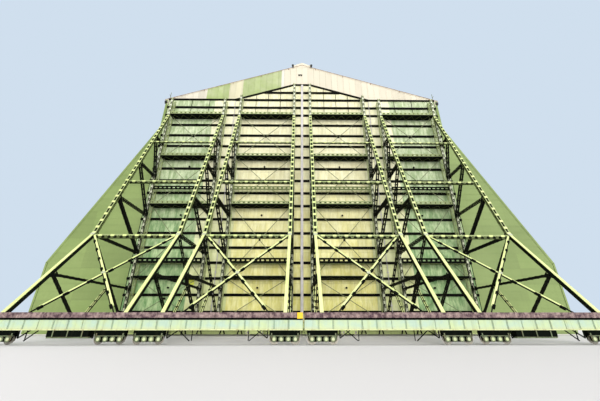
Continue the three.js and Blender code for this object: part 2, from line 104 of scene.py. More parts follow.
SIDE_DOORS = (1, 4, 8, 11)
REAR_RAILS = [4.0 + 3.4 * i for i in range(13)]
REAR_STEP = 28.3
REAR_REACH = 41.4
HALL_COLUMN = (26.2, 27.1)

# The door leaf
LEAF_INNER = 0.06
LEAF_OUTER = 27.6
LEAF_FOOT = 1.74
LEAF_EAVE = 44.5
LEAF_PEAK = 48.65
PEAK_HALF = 1.7
PEAK_FOOT = 13.9
SKIN = 0.35
SHEET_EDGES = (
    *(LEAF_INNER, 1.6, 3.28, 4.97, 6.65, 8.33, 10.02, 11.7, 13.9),
    *(15.5, 16.75, 18.0, 19.6, 21.2, 22.8, 24.4, 26.0, LEAF_OUTER),
)
LEAF_RAILS = 16
UPPER_RAILS = [42.4, 44.4, 46.4]
DOWNPIPE_X = 13.75
COLUMN_FOOT = 2.3
COLUMN_INNER_Y = -0.45
COLUMN_OUTER_Y = -1.5
WIND_Y = (COLUMN_OUTER_Y - 0.12, -0.27)
TRUSS_X = (1.6, 12.3, 15.5, 26.1)
TRUSS_TOP = (47.4, 44.3, 43.4, 43.4)
BRACED_BAYS = (("inner", 0, 1), ("outer", 3, 2))
WIND_LEVELS = (8.2, 20.2, 29.75, 39.3)
WALK_BANDS = ((-0.6, -0.27, -0.05, 0.23), (-0.38, -0.16, 0.04, 0.28))

# The joints of a raking truss, as (y, z), and the webs between them with their widths
NODE = {
    "foot": (-19.6, 2.4),
    "low": (-16.0, 6.35),
    "knee": (-11.85, 11.85),
    "mid": (-9.4, 18.2),
    "high": (-6.6, 25.45),
    "top": (-4.0, 32.3),
    "head": (-1.5, 38.9),
    "lowColumn": (-1.5, 6.45),
    "kneeColumn": (-1.5, 11.9),
    "midColumn": (-1.5, 18.3),
    "highColumn": (-1.5, 25.5),
    "topColumn": (-1.5, 32.3),
    "sillStrut": (-6.4, 6.4),
    "frontFoot": (-11.15, 2.0),
    "rearFoot": (-10.05, 2.0),
    "backFoot": (-1.85, 2.0),
}
WEB_SIZE = 0.46
WEBS = {
    ("low", "lowColumn"): 0.36,
    ("low", "frontFoot"): 0.3,
    ("sillStrut", "rearFoot"): 0.3,
    ("knee", "kneeColumn"): WEB_SIZE,
    ("knee", "backFoot"): 0.3,
    ("mid", "kneeColumn"): WEB_SIZE,
    ("mid", "midColumn"): WEB_SIZE,
    ("high", "midColumn"): WEB_SIZE,
    ("high", "highColumn"): WEB_SIZE,
    ("top", "highColumn"): WEB_SIZE,
    ("top", "topColumn"): WEB_SIZE,
}
GUSSETS = {"low": 0.5, "knee": 0.7, "mid": 0.55, "high": 0.55, "top": 0.5}
BOOMS = ((-11.85, 11.63, 0.22), (-8.16, 21.08, 0.19), (-4.65, 30.62, 0.14))
BRACE_SET_IN = 1.3
BRACE_COLLARS = (0.12, 0.25, 0.385, 0.52, 0.655, 0.79, 0.925)

# The front girder and the running gear
GIRDER_LEVELS = (1.12, 2.03, 2.54)
GIRDER_FRONT = -20.05
GIRDER_REAR = -19.3
RAKER_STAND = 2.475
DRIVE_HOUSING = (18.1, 21.6)
FRONT_BOGIES = (1.6, 13.1, 16.35, 25.65)
REAR_BOGIES = (6.95, 20.8)
WHEEL_BASE = 1.8
BOGIE_HALF = 1.3
AXLE_Z = 0.435
FRONT_WHEEL_Y = (GIRDER_FRONT + GIRDER_REAR) / 2
REAR_WHEEL_Y = -0.75
SILL_STRUTS = (3.6, 9.2, 11.8, 15.2, 17.5, 24.0)

# The outline of a bogie's side frame: a point's end of the bogie, how far in from there it lies, its height
BOGIE_OUTLINE = (
    *((-1, 0.0, 0.92), (-1, 0.12, 0.3), (-1, 0.3, 0.24)),
    *((1, 0.3, 0.24), (1, 0.12, 0.3), (1, 0.0, 0.92)),
)

# The finishes of the CAD nodes of the shell, and of those that it has on each side
SHELL_COATS = {
    "gable_front": "end wall olive",
    "gable_rear": "end wall olive",
    "floor_slab": "concrete",
    "ridge_cap": "trim cream",
}
SIDE_COATS = {
    "side_wall": "side green",
    "side_glazing": "old glazing",
    "sloping_side": "roof green",
    "upper_wall": "side green",
    "roof": "roof green",
    "column_row": "hall steel",
}

# The finishes of the pieces that have several, and a number for each by its place in the list
TRUSS_FINISHES = (
    "strut light green", "web dark green and shade", "lattice green", "deep shade green",
    "column plate", "boom shaded olive", "boom lit green", "column angle",
)
PALE, WEB_SHADE, LATTICE, SHADE, PLATE, SHADED_OLIVE, LIT_GREEN, ANGLE = range(8)
WIND_FINISHES = ("lattice green", "deep shade green", "rod grey", "boom lit green", "boom shaded olive")
WIND_LATTICE, WIND_SHADE, WIND_ROD, WIND_LIT_GREEN, WIND_SHADED_OLIVE = range(5)
GIRDER_FINISHES = (
    "girder mint", "girder edge rusted", "girder top mauve",
    "bogie green", "deep shade green", "girder joint",
)
MINT, RUSTED, MAUVE, BOGIE, SHADE_AND_JOINTS, JOINT = range(6)
REAR_FINISHES = ("end wall olive", "frame dark", "verge red", "trim cream", "side green", "old glazing")
SHEET, FRAME, VERGE, TRIM, DOOR, GLASS = range(6)


# Mesh making


def axes(a, b, side):
    """Unit vectors along a line, and across it as near to side as can be, and square to both."""
    along = (b - a).normalized()
    across = Vector(side)
    across = (across - along * across.dot(along)).normalized()
    return along, across, along.cross(across).normalized()


class Build:
    """Collects closed solids in full-size metres for one joined mesh; mirror is -1 for the left half."""

    def __init__(self, mirror=1):
        self.points, self.faces, self.marks = [], [], []
        self.mirror = mirror

    def prism(self, ring, shift, mark=0):
        """A closed prism: the ring of points carried along the shift."""
        start, count = len(self.points), len(ring)
        ring = [Vector(p) for p in ring]
        for p in ring + [p + Vector(shift) for p in ring]:
            self.points.append((p.x * self.mirror * SCALE, p.y * SCALE + ORIGIN_Y, p.z * SCALE))
        near, far = range(start, start + count), range(start + count, start + 2 * count)
        self.faces += [tuple(near)[::-1], tuple(far)]
        self.faces += [(near[i], near[i + 1 - count], far[i + 1 - count], far[i]) for i in range(count)]
        self.marks += [mark] * (count + 2)

    def plate(self, outline, y, deep, mark=0):
        """A plate that faces the front, from its outline of (x, z) points."""
        self.prism([(x, y, z) for x, z in outline], (0, deep, 0), mark)

    def slab(self, outline, x, half, mark=0):
        """A plate that faces the side, from its outline of (y, z) points, reaching half to each side of x."""
        self.prism([(x - half, y, z) for y, z in outline], (2 * half, 0, 0), mark)

    def box(self, x0, x1, y0, y1, z0, z1, mark=0):
        (x0, x1), (y0, y1) = sorted((x0, x1)), sorted((y0, y1))
        self.prism([(x0, y0, z0), (x1, y0, z0), (x1, y1, z0), (x0, y1, z0)], (0, 0, z1 - z0), mark)

    def post(self, x, half, *rest):
        """A box whose width lies half on each side of x."""
        self.box(x - half, x + half, *rest)

    def bar(self, a, b, width, depth, side=(1, 0, 0), mark=0):
        """A straight bar from a to b; its width lies along side as far as that is square to it."""
        a, b = Vector(a), Vector(b)
        _, u, v = axes(a, b, side)
        u, v = u * (width / 2), v * (depth / 2)
        self.prism([a - u - v, a + u - v, a + u + v, a - u + v], b - a, mark)

    def angle(self, a, b, u, v, leg, thick, mark=0, side=None):
        """An L section along a to b, its corner on the line and its legs towards u and v."""
        inner = a + u * thick + v * thick
        ring = [a, a + u * leg, a + u * leg + v * thick, inner, a + u * thick + v * leg, a + v * leg]
        self.prism(ring, b - a, mark)
        if side is not None:
            self.marks[-5:] = [side] * 5

    def tube(self, a, b, radius, sides=8, mark=0):
        a, b = Vector(a), Vector(b)
        _, u, v = axes(a, b, (b - a).normalized().orthogonal())
        u, v = u * radius, v * radius
        turns = [2 * math.pi * i / sides for i in range(sides)]
        self.prism([a + u * math.cos(t) + v * math.sin(t) for t in turns], b - a, mark)

    def laced(self, a, b, width, depth, leg=0.09, pitch=1.2, batten=0.24, marks=(0, 1, 1, 0), web=True):
        """A built-up member: four corner angles, tie plates over its faces and a web down its middle. marks
        are the finishes of the faces along x, of the two faces across it, of the web and of the tie plates."""
        a, b = Vector(a), Vector(b)
        along, u, v = axes(a, b, (1, 0, 0))
        thick, margin = 0.035, 0.02
        for i, j in CORNERS:
            corner = a + u * (i * width / 2) + v * (j * depth / 2)
            self.angle(corner, corner + (b - a), -u * i, -v * j, leg, thick, marks[0], marks[1])
        if web:
            self.bar(a, b, width - 2.2 * thick, depth * 0.3, u, marks[2])
        length = (b - a).length
        count = max(2, round(length / pitch))
        for i in range(count + 1):
            middle = min(max(i * length / count, batten / 2), length - batten / 2)
            start = a + along * (middle - batten / 2)
            for j in SIDES:
                for out, across, wide, deep, mark in (
                    (v, u, width, depth, marks[3]),
                    (u, v, depth, width, marks[1]),
                ):
                    face = start + out * (j * (deep + thick) / 2)
                    self.bar(face, face + along * batten, wide - margin, thick, across, mark)

    def make(self, name, body, finishes, slot, bevel=0.0):
        """The joined mesh, riding on its body, with its finishes in the order of their numbers."""
        mesh = bpy.data.meshes.new(name)
        mesh.from_pydata(self.points, [], self.faces)
        mesh.polygons.foreach_set("material_index", self.marks)
        work = bmesh.new()
        work.from_mesh(mesh)
        bmesh.ops.recalc_face_normals(work, faces=work.faces)
        work.to_mesh(mesh)
        work.free()
        for key in finishes:
            mesh.materials.append(finish_of(key))
        piece = bpy.data.objects.new(name, mesh)
        bpy.context.scene.collection.objects.link(piece)
        if bevel:
            edge = piece.modifiers.new("softened edges", "BEVEL")
            edge.width = bevel * SCALE
            edge.segments = 2
            edge.limit_method = "ANGLE"
        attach(piece, body)
        return piece


# Shader groups shared by the finishes


def feed(tree, socket, value):
    """Links an output to the socket, or sets the socket's own value."""
    if hasattr(value, "is_output"):
        tree.links.new(value, socket)
    else:
        socket.default_value = value


def node(tree, kind, values=None, **settings):
    made = tree.nodes.new("ShaderNode" + kind)
    for key, value in settings.items():
        setattr(made, key, value)
    for key, value in (values or {}).items():
        feed(tree, made.inputs[key], value)
    return made


def maths(tree, operation, *values, clamp=False):
    return node(tree, "Math", dict(enumerate(values)), operation=operation, use_clamp=clamp).outputs[0]


def mixed(tree, factor, a, b):
    return node(tree, "Mix", {0: factor, 6: a, 7: b}, data_type="RGBA").outputs[2]


def ranged(tree, value, low, high, **settings):
    return node(tree, "MapRange", {"Value": value, "From Min": low, "From Max": high}, **settings).outputs[0]


def noise(tree, place, scale, detail, roughness):
    values = {"Vector": place, "Scale": scale, "Detail": detail, "Roughness": roughness}
    return node(tree, "TexNoise", values).outputs["Fac"]


def new_group(name, inputs, outputs):
    """An empty group: an input is a colour if its value is one, and of the outputs only Color is."""
    tree = bpy.data.node_groups.new(name, "ShaderNodeTree")
    for label, value in inputs.items():
        kind = "NodeSocketColor" if isinstance(value, tuple) else "NodeSocketFloat"
        tree.interface.new_socket(label, in_out="INPUT", socket_type=kind).default_value = value
    for label in outputs:
        kind = "NodeSocketColor" if label == "Color" else "NodeSocketFloat"
        tree.interface.new_socket(label, in_out="OUTPUT", socket_type=kind)
    return tree, tree.nodes.new("NodeGroupInput").outputs, tree.nodes.new("NodeGroupOutput").inputs


def weathering_group():
    """Faded patches, rain streaks and specks of grime."""
    grey, pale, dark = (0.5, 0.5, 0.5, 1), (0.6, 0.6, 0.5, 1), (0.1, 0.09, 0.07, 1)
    inputs = {"Color": grey, "Faded": pale, "Grime": dark, "Fading": 0.5, "Streaks": 0.3}
    inputs.update({"Patch Size": 1.0, "Upright": 1.0})
    tree, given, out = new_group("Weathering", inputs, ("Color", "Grime", "Height"))
    place = node(tree, "TexCoord").outputs["Object"]
    drawn = node(tree, "CombineXYZ", {"X": 1.0, "Y": 1.0, "Z": given["Upright"]}).outputs[0]
    tall = node(tree, "VectorMath", {0: place, 1: drawn}, operation="MULTIPLY").outputs[0]
    patch = noise(tree, tall, maths(tree, "DIVIDE", 1.6, given["Patch Size"]), 6.0, 0.62)
    fading = maths(tree, "MULTIPLY", ranged(tree, patch, 0.38, 0.66), given["Fading"])
    faded = mixed(tree, fading, given["Color"], given["Faded"])
    stretched = node(tree, "Mapping", {"Vector": place, "Scale": (1.0, 1.0, 0.06)}).outputs[0]
    run = ranged(tree, noise(tree, stretched, 26.0, 5.0, 0.7), 0.52, 0.78)
    speck = noise(tree, place, 60.0, 8.0, 0.75)
    spots = ranged(tree, speck, 0.6, 0.82)
    dirt = maths(tree, "MULTIPLY", maths(tree, "ADD", run, spots, clamp=True), given["Streaks"])
    feed(tree, out["Color"], mixed(tree, dirt, faded, given["Grime"]))
    feed(tree, out["Grime"], dirt)
    feed(tree, out["Height"], maths(tree, "ADD", maths(tree, "MULTIPLY", patch, 0.5), speck))


def sheeting_group():
    """Sheets laid edge to edge: a joint line round each, a small tint of its own, and fine ribs."""
    inputs = {"Along": 0.0, "Up": 0.0, "Sheet Width": 0.2, "Sheet Height": 0.25, "Joint": 0.003, "Ribs": 60.0}
    tree, given, out = new_group("Sheeting", inputs, ("Joint", "Tint", "Height"))
    lines, cells = [], []
    for way, size in (("Along", "Sheet Width"), ("Up", "Sheet Height")):
        value = maths(tree, "DIVIDE", given[way], given[size])
        part = maths(tree, "ABSOLUTE", maths(tree, "SUBTRACT", maths(tree, "FRACT", value), 0.5))
        edge = maths(tree, "MULTIPLY", maths(tree, "SUBTRACT", 0.5, part), given[size])
        lines.append(maths(tree, "LESS_THAN", edge, given["Joint"]))
        cells.append(maths(tree, "FLOOR", value))
    joint = maths(tree, "MAXIMUM", *lines)
    cell = node(tree, "CombineXYZ", dict(enumerate(cells))).outputs[0]
    random = node(tree, "TexWhiteNoise", noise_dimensions="2D")
    feed(tree, random.inputs["Vector"], cell)
    ribs = maths(tree, "SINE", maths(tree, "MULTIPLY", given["Along"], given["Ribs"]))
    feed(tree, out["Joint"], joint)
    feed(tree, out["Tint"], random.outputs["Value"])
    feed(tree, out["Height"], maths(tree, "SUBTRACT", maths(tree, "MULTIPLY", ribs, 0.5), joint))


def edge_wear_group():
    """Bare or rusted metal where an edge is rubbed, broken up by noise."""
    inputs = {"Color": (0.5, 0.5, 0.5, 1), "Worn": (0.2, 0.1, 0.05, 1), "Width": 0.006, "Amount": 0.6}
    tree, given, out = new_group("Edge Wear", inputs, ("Color", "Mask"))
    rounded = node(tree, "Bevel", {"Radius": given["Width"]}, samples=4).outputs[0]
    flat = node(tree, "NewGeometry").outputs["Normal"]
    turn = node(tree, "VectorMath", {0: rounded, 1: flat}, operation="DOT_PRODUCT").outputs["Value"]
    broken = ranged(tree, noise(tree, node(tree, "TexCoord").outputs["Object"], 45.0, 6.0, 0.7), 0.42, 0.6)
    mask = maths(tree, "MULTIPLY", ranged(tree, turn, 0.99, 0.86), broken)
    mask = maths(tree, "MULTIPLY", mask, given["Amount"])
    feed(tree, out["Color"], mixed(tree, mask, given["Color"], given["Worn"]))
    feed(tree, out["Mask"], mask)


GROUP_MAKERS = {"Weathering": weathering_group, "Sheeting": sheeting_group, "Edge Wear": edge_wear_group}


def use_group(tree, name, values):
    if name not in bpy.data.node_groups:
        GROUP_MAKERS[name]()
    made = tree.nodes.new("ShaderNodeGroup")
    made.node_tree = bpy.data.node_groups[name]
    for key, value in values.items():
        feed(tree, made.inputs[key], value)
    return made.outputs


# Finishes


def linear(paint):
    """A colour in 0 to 255 as seen on screen, or the setting of that name, as shaders take it."""
    if isinstance(paint, str):
        shed, door = bpy.context.scene.shed_settings, bpy.context.scene.door_settings
        return getattr(shed if hasattr(shed, paint) else door, paint)
    shares = [c / 255 for c in paint]
    return (*(c / 12.92 if c <= 0.04045 else ((c + 0.055) / 1.055) ** 2.4 for c in shares), 1.0)


def new_material(name):
    material = bpy.data.materials.new(name)
    material.use_nodes = True
    return material, material.node_tree, material.node_tree.nodes["Principled BSDF"]


RUST = (116, 64, 34)
SHED_GRIME = (70, 66, 48)
JOINT_TINT = (0.02, 0.02, 0.01, 1)


def painted(
    name, color, faded, grime=SHED_GRIME, fading=0.5, streaks=0.25, patch=1.0, upright=1.0, roughness=0.55,
    metallic=0.0, gloss=0.4, bump=0.15, sheets=None, wear=None, bands=(), rise=None,
):
    """A painted finish. upright below 1 draws its patches out in height. sheets is (along axis, up axis,
    width, height, joint, ribs) in model metres. bands are (from x, colour) where the paint changes across.
    rise is (from, to, colour, another faded colour if need be) for a colour that changes with height. wear is
    (width, amount) of rust on edges."""
    _, tree, shader = new_material(name)
    base, faded, grime = linear(color), linear(faded), linear(grime)
    place = node(tree, "SeparateXYZ", {0: node(tree, "TexCoord").outputs["Object"]}).outputs
    for start, paint in bands:
        base = mixed(tree, maths(tree, "GREATER_THAN", place["X"], start), base, linear(paint))
    if rise:
        climb = ranged(tree, place["Z"], *rise[:2], interpolation_type="SMOOTHSTEP")
        base = mixed(tree, climb, base, linear(rise[2]))
        faded = mixed(tree, climb, faded, linear(rise[-1]))
    values = {"Color": base, "Faded": faded, "Grime": grime, "Fading": fading, "Streaks": streaks}
    aged = use_group(tree, "Weathering", {**values, "Patch Size": patch, "Upright": upright})
    tone, height = aged["Color"], aged["Height"]
    dull = maths(tree, "MULTIPLY_ADD", aged["Grime"], 0.35, roughness, clamp=True)
    if sheets:
        along, up, width, tall, joint, ribs = sheets
        values = {"Along": place[along], "Up": place[up], "Sheet Width": width, "Sheet Height": tall}
        laid = use_group(tree, "Sheeting", {**values, "Joint": joint, "Ribs": ribs})
        tone = mixed(tree, maths(tree, "MULTIPLY", laid["Tint"], 0.16), tone, JOINT_TINT)
        tone = mixed(tree, maths(tree, "MULTIPLY", laid["Joint"], 0.55), tone, grime)
        height = maths(tree, "ADD", maths(tree, "MULTIPLY", height, 0.4), laid["Height"])
    if wear:
        values = {"Color": tone, "Worn": linear(RUST), "Width": wear[0], "Amount": wear[1]}
        worn = use_group(tree, "Edge Wear", values)
        tone = worn["Color"]
        dull = maths(tree, "MULTIPLY_ADD", worn["Mask"], 0.2, dull, clamp=True)
    relief = node(tree, "Bump", {"Strength": bump, "Distance": 0.01, "Height": height}).outputs[0]
    sockets = {"Normal": relief, "Base Color": tone, "Roughness": dull, "Metallic": metallic}
    for key, value in {**sockets, "Specular IOR Level": gloss}.items():
        feed(tree, shader.inputs[key], value)


def glazed(name):
    """Old glazing, streaked and a little cloudy."""
    _, tree, shader = new_material(name)
    values = {"Color": (196, 208, 222), "Faded": (214, 220, 226), "Grime": (110, 108, 92)}
    values = {key: linear(value) for key, value in values.items()}
    aged = use_group(tree, "Weathering", {**values, "Fading": 0.6, "Streaks": 0.5, "Patch Size": 0.4})
    feed(tree, shader.inputs["Base Color"], aged["Color"])
    feed(tree, shader.inputs["Roughness"], maths(tree, "MULTIPLY_ADD", aged["Grime"], 0.5, 0.08, clamp=True))
    feed(tree, shader.inputs["Transmission Weight"], 0.6)
    feed(tree, shader.inputs["IOR"], 1.45)


# Each finish by name: its paint, its faded paint, and what differs from the usual
DOOR_LAYOUT = ("X", "Z", 0.155, 0.2475, 0.0009, 420.0)
DOOR_SHEET = dict(streaks=0.2, fading=1.0, patch=0.08, upright=0.3, sheets=DOOR_LAYOUT, bump=0.25)
SIDE_SHEET = dict(streaks=0.3, fading=0.7, patch=2.0, bump=0.25)
FINISHES = {
    # Leaf sheets change with height: darker and greener low on green and pale bays, yellower low on cream
    "door sheet green": (
        "green_paint", (186, 210, 154), dict(DOOR_SHEET, rise=(0.8, 3.6, (156, 176, 128), (218, 228, 192)))
    ),
    "door sheet cream": (
        "cream_paint", (244, 240, 172), dict(DOOR_SHEET, rise=(0.4, 3.4, (226, 222, 180), (244, 242, 206)))
    ),
    "door sheet pale": (
        (212, 220, 152), (236, 240, 188), dict(DOOR_SHEET, rise=(0.6, 3.4, (230, 228, 188), (248, 246, 214)))
    ),
    # Near-black: painted shade on the leaf's rails and upper edge; the side doors' own dark paint
    "girt dark and shade": ((6, 9, 6), (14, 17, 10), dict(streaks=0.15, roughness=0.85, wear=(0.003, 0.1), gloss=0.08)),
    # Painted shade: the shaded copy of the boom green, for lower angles, chord sides and undersides
    "boom shaded olive": ((84, 98, 48), (120, 132, 74), dict(streaks=0.3, wear=(0.003, 0.3))),
    "strut light green": ("steel_paint", (228, 234, 166), dict(streaks=0.22, fading=0.7, wear=(0.003, 0.35))),
    # Near-black: painted shade on the webs, gussets, plated raker boxes and braces' lower angles; also used
    # for the leaf's thin rods and the sill's struts
    "web dark green and shade": (
        (9, 15, 9), (20, 29, 16), dict(streaks=0.15, roughness=0.8, wear=(0.003, 0.12), gloss=0.1)
    ),
    "column plate": (
        (168, 174, 142), (206, 208, 186),
        dict(streaks=0.35, wear=(0.003, 0.4), rise=(1.0, 4.2, (216, 220, 198))),
    ),
    # Painted shade: the dark paint of the columns' outer angles, lighter towards the top
    "column angle": (
        (46, 56, 34), (76, 88, 54), dict(streaks=0.4, wear=(0.003, 0.4), rise=(1.0, 4.2, (116, 128, 86)))
    ),
    "lattice green": ((176, 192, 120), (212, 220, 164), dict(streaks=0.35, wear=(0.003, 0.5))),
    # Near-black: painted shade on undersides, in gaps and inside members; also dark joint lines
    "deep shade green": ((7, 12, 7), (12, 17, 10), dict(streaks=0.15, roughness=0.9, gloss=0.05)),
    "girder mint": (
        "girder_paint", (192, 203, 148),
        dict(
            streaks=0.35, fading=0.85, patch=0.14, roughness=0.5, wear=(0.006, 0.4),
            rise=(0.115, 0.15, (172, 196, 176), (190, 206, 152)),
        ),
    ),
    "girder joint": ((122, 148, 124), (146, 168, 138), dict(streaks=0.4)),
    # Painted light: the lit copy of the boom green, for tops and faces of booms, chords and wind girders
    "boom lit green": ((150, 166, 108), (178, 190, 134), dict(streaks=0.4, wear=(0.003, 0.4))),
    "girder edge rusted": (
        (196, 206, 150), (226, 228, 180),
        dict(grime=(124, 66, 34), streaks=0.95, fading=0.8, patch=0.12, roughness=0.8),
    ),
    "girder top mauve": (
        (76, 54, 62), (164, 142, 136),
        dict(grime=(44, 30, 30), streaks=0.7, fading=1.0, patch=0.05, roughness=0.8),
    ),
    "bogie green": ((78, 94, 66), (140, 154, 116), dict(streaks=0.6, patch=0.15, wear=(0.005, 0.9))),
    "wheel steel": (
        (120, 118, 110), (160, 154, 140),
        dict(grime=(70, 44, 30), streaks=0.5, patch=0.1, roughness=0.4, metallic=0.8),
    ),
    "end wall olive": (
        "wall_paint", (140, 158, 96),
        dict(streaks=0.12, fading=0.7, patch=2.2, sheets=("Z", "X", 0.248, 0.9, 0.0004, 300.0), bump=0.12),
    ),
    "fascia": (
        (207, 201, 184), (216, 210, 192),
        dict(
            streaks=0.1, fading=0.25, patch=0.4, sheets=("X", "Z", 0.13, 3.0, 0.0008, 420.0),
            bands=(
                (-2.03, (152, 170, 106)), (-1.56, (207, 202, 170)), (-1.275, (158, 174, 114)),
                (-0.45, (222, 218, 206)), (-0.39, (215, 207, 186)),
            ),
        ),
    ),
    "verge red": (
        (112, 74, 62), (186, 164, 140), dict(grime=(60, 34, 30), streaks=0.6, fading=0.9, patch=0.1)
    ),
    "roof green": (
        "roof_paint", (80, 112, 64), dict(SIDE_SHEET, sheets=("Y", "X", 0.6, 0.9, 0.0015, 300.0))
    ),
    "roof seam": ((74, 110, 64), (104, 134, 84), dict(streaks=0.3)),
    "side green": (
        "side_paint", (122, 170, 80), dict(SIDE_SHEET, sheets=("Y", "Z", 0.6, 0.9, 0.0015, 300.0))
    ),
    "trim cream": ((226, 216, 182), (240, 232, 204), dict(streaks=0.3, fading=0.5)),
    "frame dark": ((26, 30, 22), (48, 50, 40), dict(streaks=0.2)),
    "rod grey": ((100, 108, 76), (140, 146, 106), dict(streaks=0.4)),
    "cover strip": ((196, 192, 192), (222, 220, 218), dict(streaks=0.5, fading=0.6, patch=0.3)),
    "concrete": (
        (150, 146, 136), (176, 172, 162),
        dict(streaks=0.12, patch=0.8, roughness=0.85, sheets=("X", "Y", 0.5, 0.5, 0.002, 0.0), bump=0.2),
    ),
    "hall steel": ((128, 138, 110), (160, 164, 140), dict(streaks=0.3)),
    "rubber black": ((26, 26, 24), (44, 44, 40), dict(streaks=0.2, roughness=0.8)),
    "lamp black": ((14, 14, 14), (30, 30, 28), dict(streaks=0.1, roughness=0.4)),
    "patch yellow": ((206, 214, 70), (226, 232, 104), dict(streaks=0.2, patch=0.05)),
    "plate yellow": ((236, 190, 10), (240, 206, 60), dict(streaks=0.2, patch=0.05)),
}


def finish_of(key):
    """The finish of that name, made when it is first asked for."""
    if key not in bpy.data.materials:
        if key == "old glazing":
            glazed(key)
        else:
            color, faded, options = FINISHES[key]
            painted(key, color, faded, **options)
    return bpy.data.materials[key]


def coat(name, key):
    """Gives a CAD node its finish."""
    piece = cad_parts[name]
    if piece.material_slots:
        piece.material_slots[0].material = finish_of(key)
    else:
        piece.data.materials.append(finish_of(key))


# The shed


def roof_top(x):
    return RIDGE_Z - ROOF_FALL * abs(x)


def side_reach(z):
    """Half the shed's width at a height below its shoulder."""
    return HALF_WIDTH - SIDE_LEAN * max(0.0, z - LOW_TOP)


def leaf_top(x):
    if x <= PEAK_HALF:
        return LEAF_PEAK
    return max(LEAF_EAVE, LEAF_PEAK - (LEAF_PEAK - LEAF_EAVE) * (x - PEAK_HALF) / (PEAK_FOOT - PEAK_HALF))


def head_under(x):
    """The lower edge of the sheeted front, over the leaves' top edge."""
    share = max(0.0, min(1.0, (PEAK_FOOT - abs(x)) / (PEAK_FOOT - PEAK_HALF)))
    return HEAD[0] + share * (HEAD[1] - HEAD[0])


def verge(side, drop, tall):
    """The outline of a board along the roof's edge, from the ridge down to the eaves."""
    ends = [(x, roof_top(x) - drop) for x in (0.0, side * VERGE_REACH)]
    return [(x, z - tall) for x, z in ends] + ends[::-1]


def add_fascia(props):
    """The pale sheeted front over the doors, in upright sheets, and the boards round the front's outline."""
    build = Build()
    back = GABLE_Y - 0.005
    count = round(2 * FRONT_HALF / props.sheet_width)
    step = 2 * FRONT_HALF / count
    for i in range(count):
        x0 = -FRONT_HALF + i * step + 0.012
        x1 = x0 + step - 0.024
        y = GABLE_Y - 0.05 - 0.012 * (i % 2)
        kinks = (-PEAK_FOOT, -PEAK_HALF, 0.0, PEAK_HALF, PEAK_FOOT)
        xs = [x0, *(x for x in kinks if x0 < x < x1), x1]
        outline = [(x, head_under(x)) for x in xs] + [(x, roof_top(x) - 0.3) for x in reversed(xs)]
        build.plate(outline, y, back - y)
    build.make("fascia_sheets", "shed", ["fascia"], "trim")

    trim = Build()
    pale, red, olive = range(3)
    front, board = GABLE_Y - 0.14, GABLE_Y - 0.1
    slope = [
        (HALF_WIDTH, LOW_TOP),
        SHOULDER,
        (SHOULDER[0] - 0.3, SHOULDER[1] - 0.1),
        (HALF_WIDTH - 0.33, LOW_TOP - 0.1),
    ]
    for side in SIDES:
        trim.plate(verge(side, 0.0, 0.11), front, back - front, red)
        trim.plate(verge(side, 0.11, 0.2), front + 0.04, back - front - 0.04, pale)
        trim.plate([(side * x, z) for x, z in slope], board, back - board, olive)
        trim.box(side * (HALF_WIDTH - 0.3), side * HALF_WIDTH, board, back, FLOOR_TOP, LOW_TOP, olive)
        trim.box(side * 28.25, side * SHOULDER[0], board, back, SHOULDER[1], 45.0, olive)
        for x in (3.0, 9.0, 15.0, 21.0, 27.0):
            z = roof_top(x)
            trim.post(side * x, 0.06, front, GABLE_Y - 0.01, z - 0.44, z - 0.06, red)
    cap = [(-1.9, 54.5), (1.9, 54.5), (1.9, 55.12), (0.0, 55.97), (-1.9, 55.12)]
    trim.plate(cap, GABLE_Y - 0.09, 0.085, pale)
    trim.make("verge_trims", "shed", ["fascia", "verge red", "end wall olive"], "trim")


def add_end_walls(props):
    """Lapped courses of sheets on the end walls beside the doors."""
    build = Build()
    count = round((SHOULDER[1] - FLOOR_TOP) / props.course_height)
    course = (SHOULDER[1] - FLOOR_TOP) / count
    inner = 26.05
    for side in SIDES:
        for i in range(count):
            low = FLOOR_TOP + i * course
            top = min(low + course + 0.05, SHOULDER[1])
            levels = [low, LOW_TOP, top] if low < LOW_TOP < top else [low, top]
            outline = [(inner, low), *((side_reach(z) - 0.35, z) for z in levels), (inner, top)]
            leaning = [(side * x, GABLE_Y - 0.06 + 0.025 * (z - low) / course, z) for x, z in outline]
            build.prism(leaning, (0, 0.02, 0))
        build.box(side * 26.02, side * 28.25, GABLE_Y - 0.05, GABLE_Y - 0.01, SHOULDER[1], HEAD[0])
    build.make("end_wall_sheets", "shed", ["end wall olive"], "wall")


def add_lamps_and_masts():
    """Lamps beside the ridge cap and at the eaves, a small vent in the middle, and a mast over each eave."""
    lamps = Build()
    for side in SIDES:
        for x, z, reach in ((2.05, 54.62, 0.62), (28.5, 44.3, 0.34)):
            outs = (reach + 0.06, reach, reach / 2, 0.01)
            rim, face, neck, wall = ((side * x, GABLE_Y - out, z) for out in outs)
            lamps.tube(face, neck, 0.23, 14)
            lamps.tube(rim, face, 0.27, 14)
            lamps.tube(neck, wall, 0.07)
    for x in (-0.62, -0.15):
        lamps.post(x, 0.12, GABLE_Y - 0.2, GABLE_Y - 0.04, 51.95, 52.2)
    lamps.box(-0.85, 0.05, GABLE_Y - 0.24, GABLE_Y - 0.04, 52.2, 52.32)
    lamps.make("gable_lamps", "shed", ["lamp black"], "trim", bevel=0.03)
    masts = Build()
    for side in SIDES:
        x, y = side * FRONT_HALF, GABLE_Y + 0.6
        masts.tube((x, y, 45.3), (x, y, 47.6), 0.05)
        masts.tube((x, y, 46.6), (x, GABLE_Y + 0.1, 46.6), 0.035)
    masts.make("eave_masts", "shed", ["rod grey"], "trim")


def fin(build, side, y, line, out, tall):
    """A rib down a slope: line gives its ends as (x, z), out the way it stands off the slope."""
    lift = Vector((side * out[0], 0, out[1])).normalized() * tall
    start, end = (Vector((side * x, y - 0.04, z)) for x, z in line)
    build.prism([start, end, end + lift, start + lift], (0, 0.08, 0))


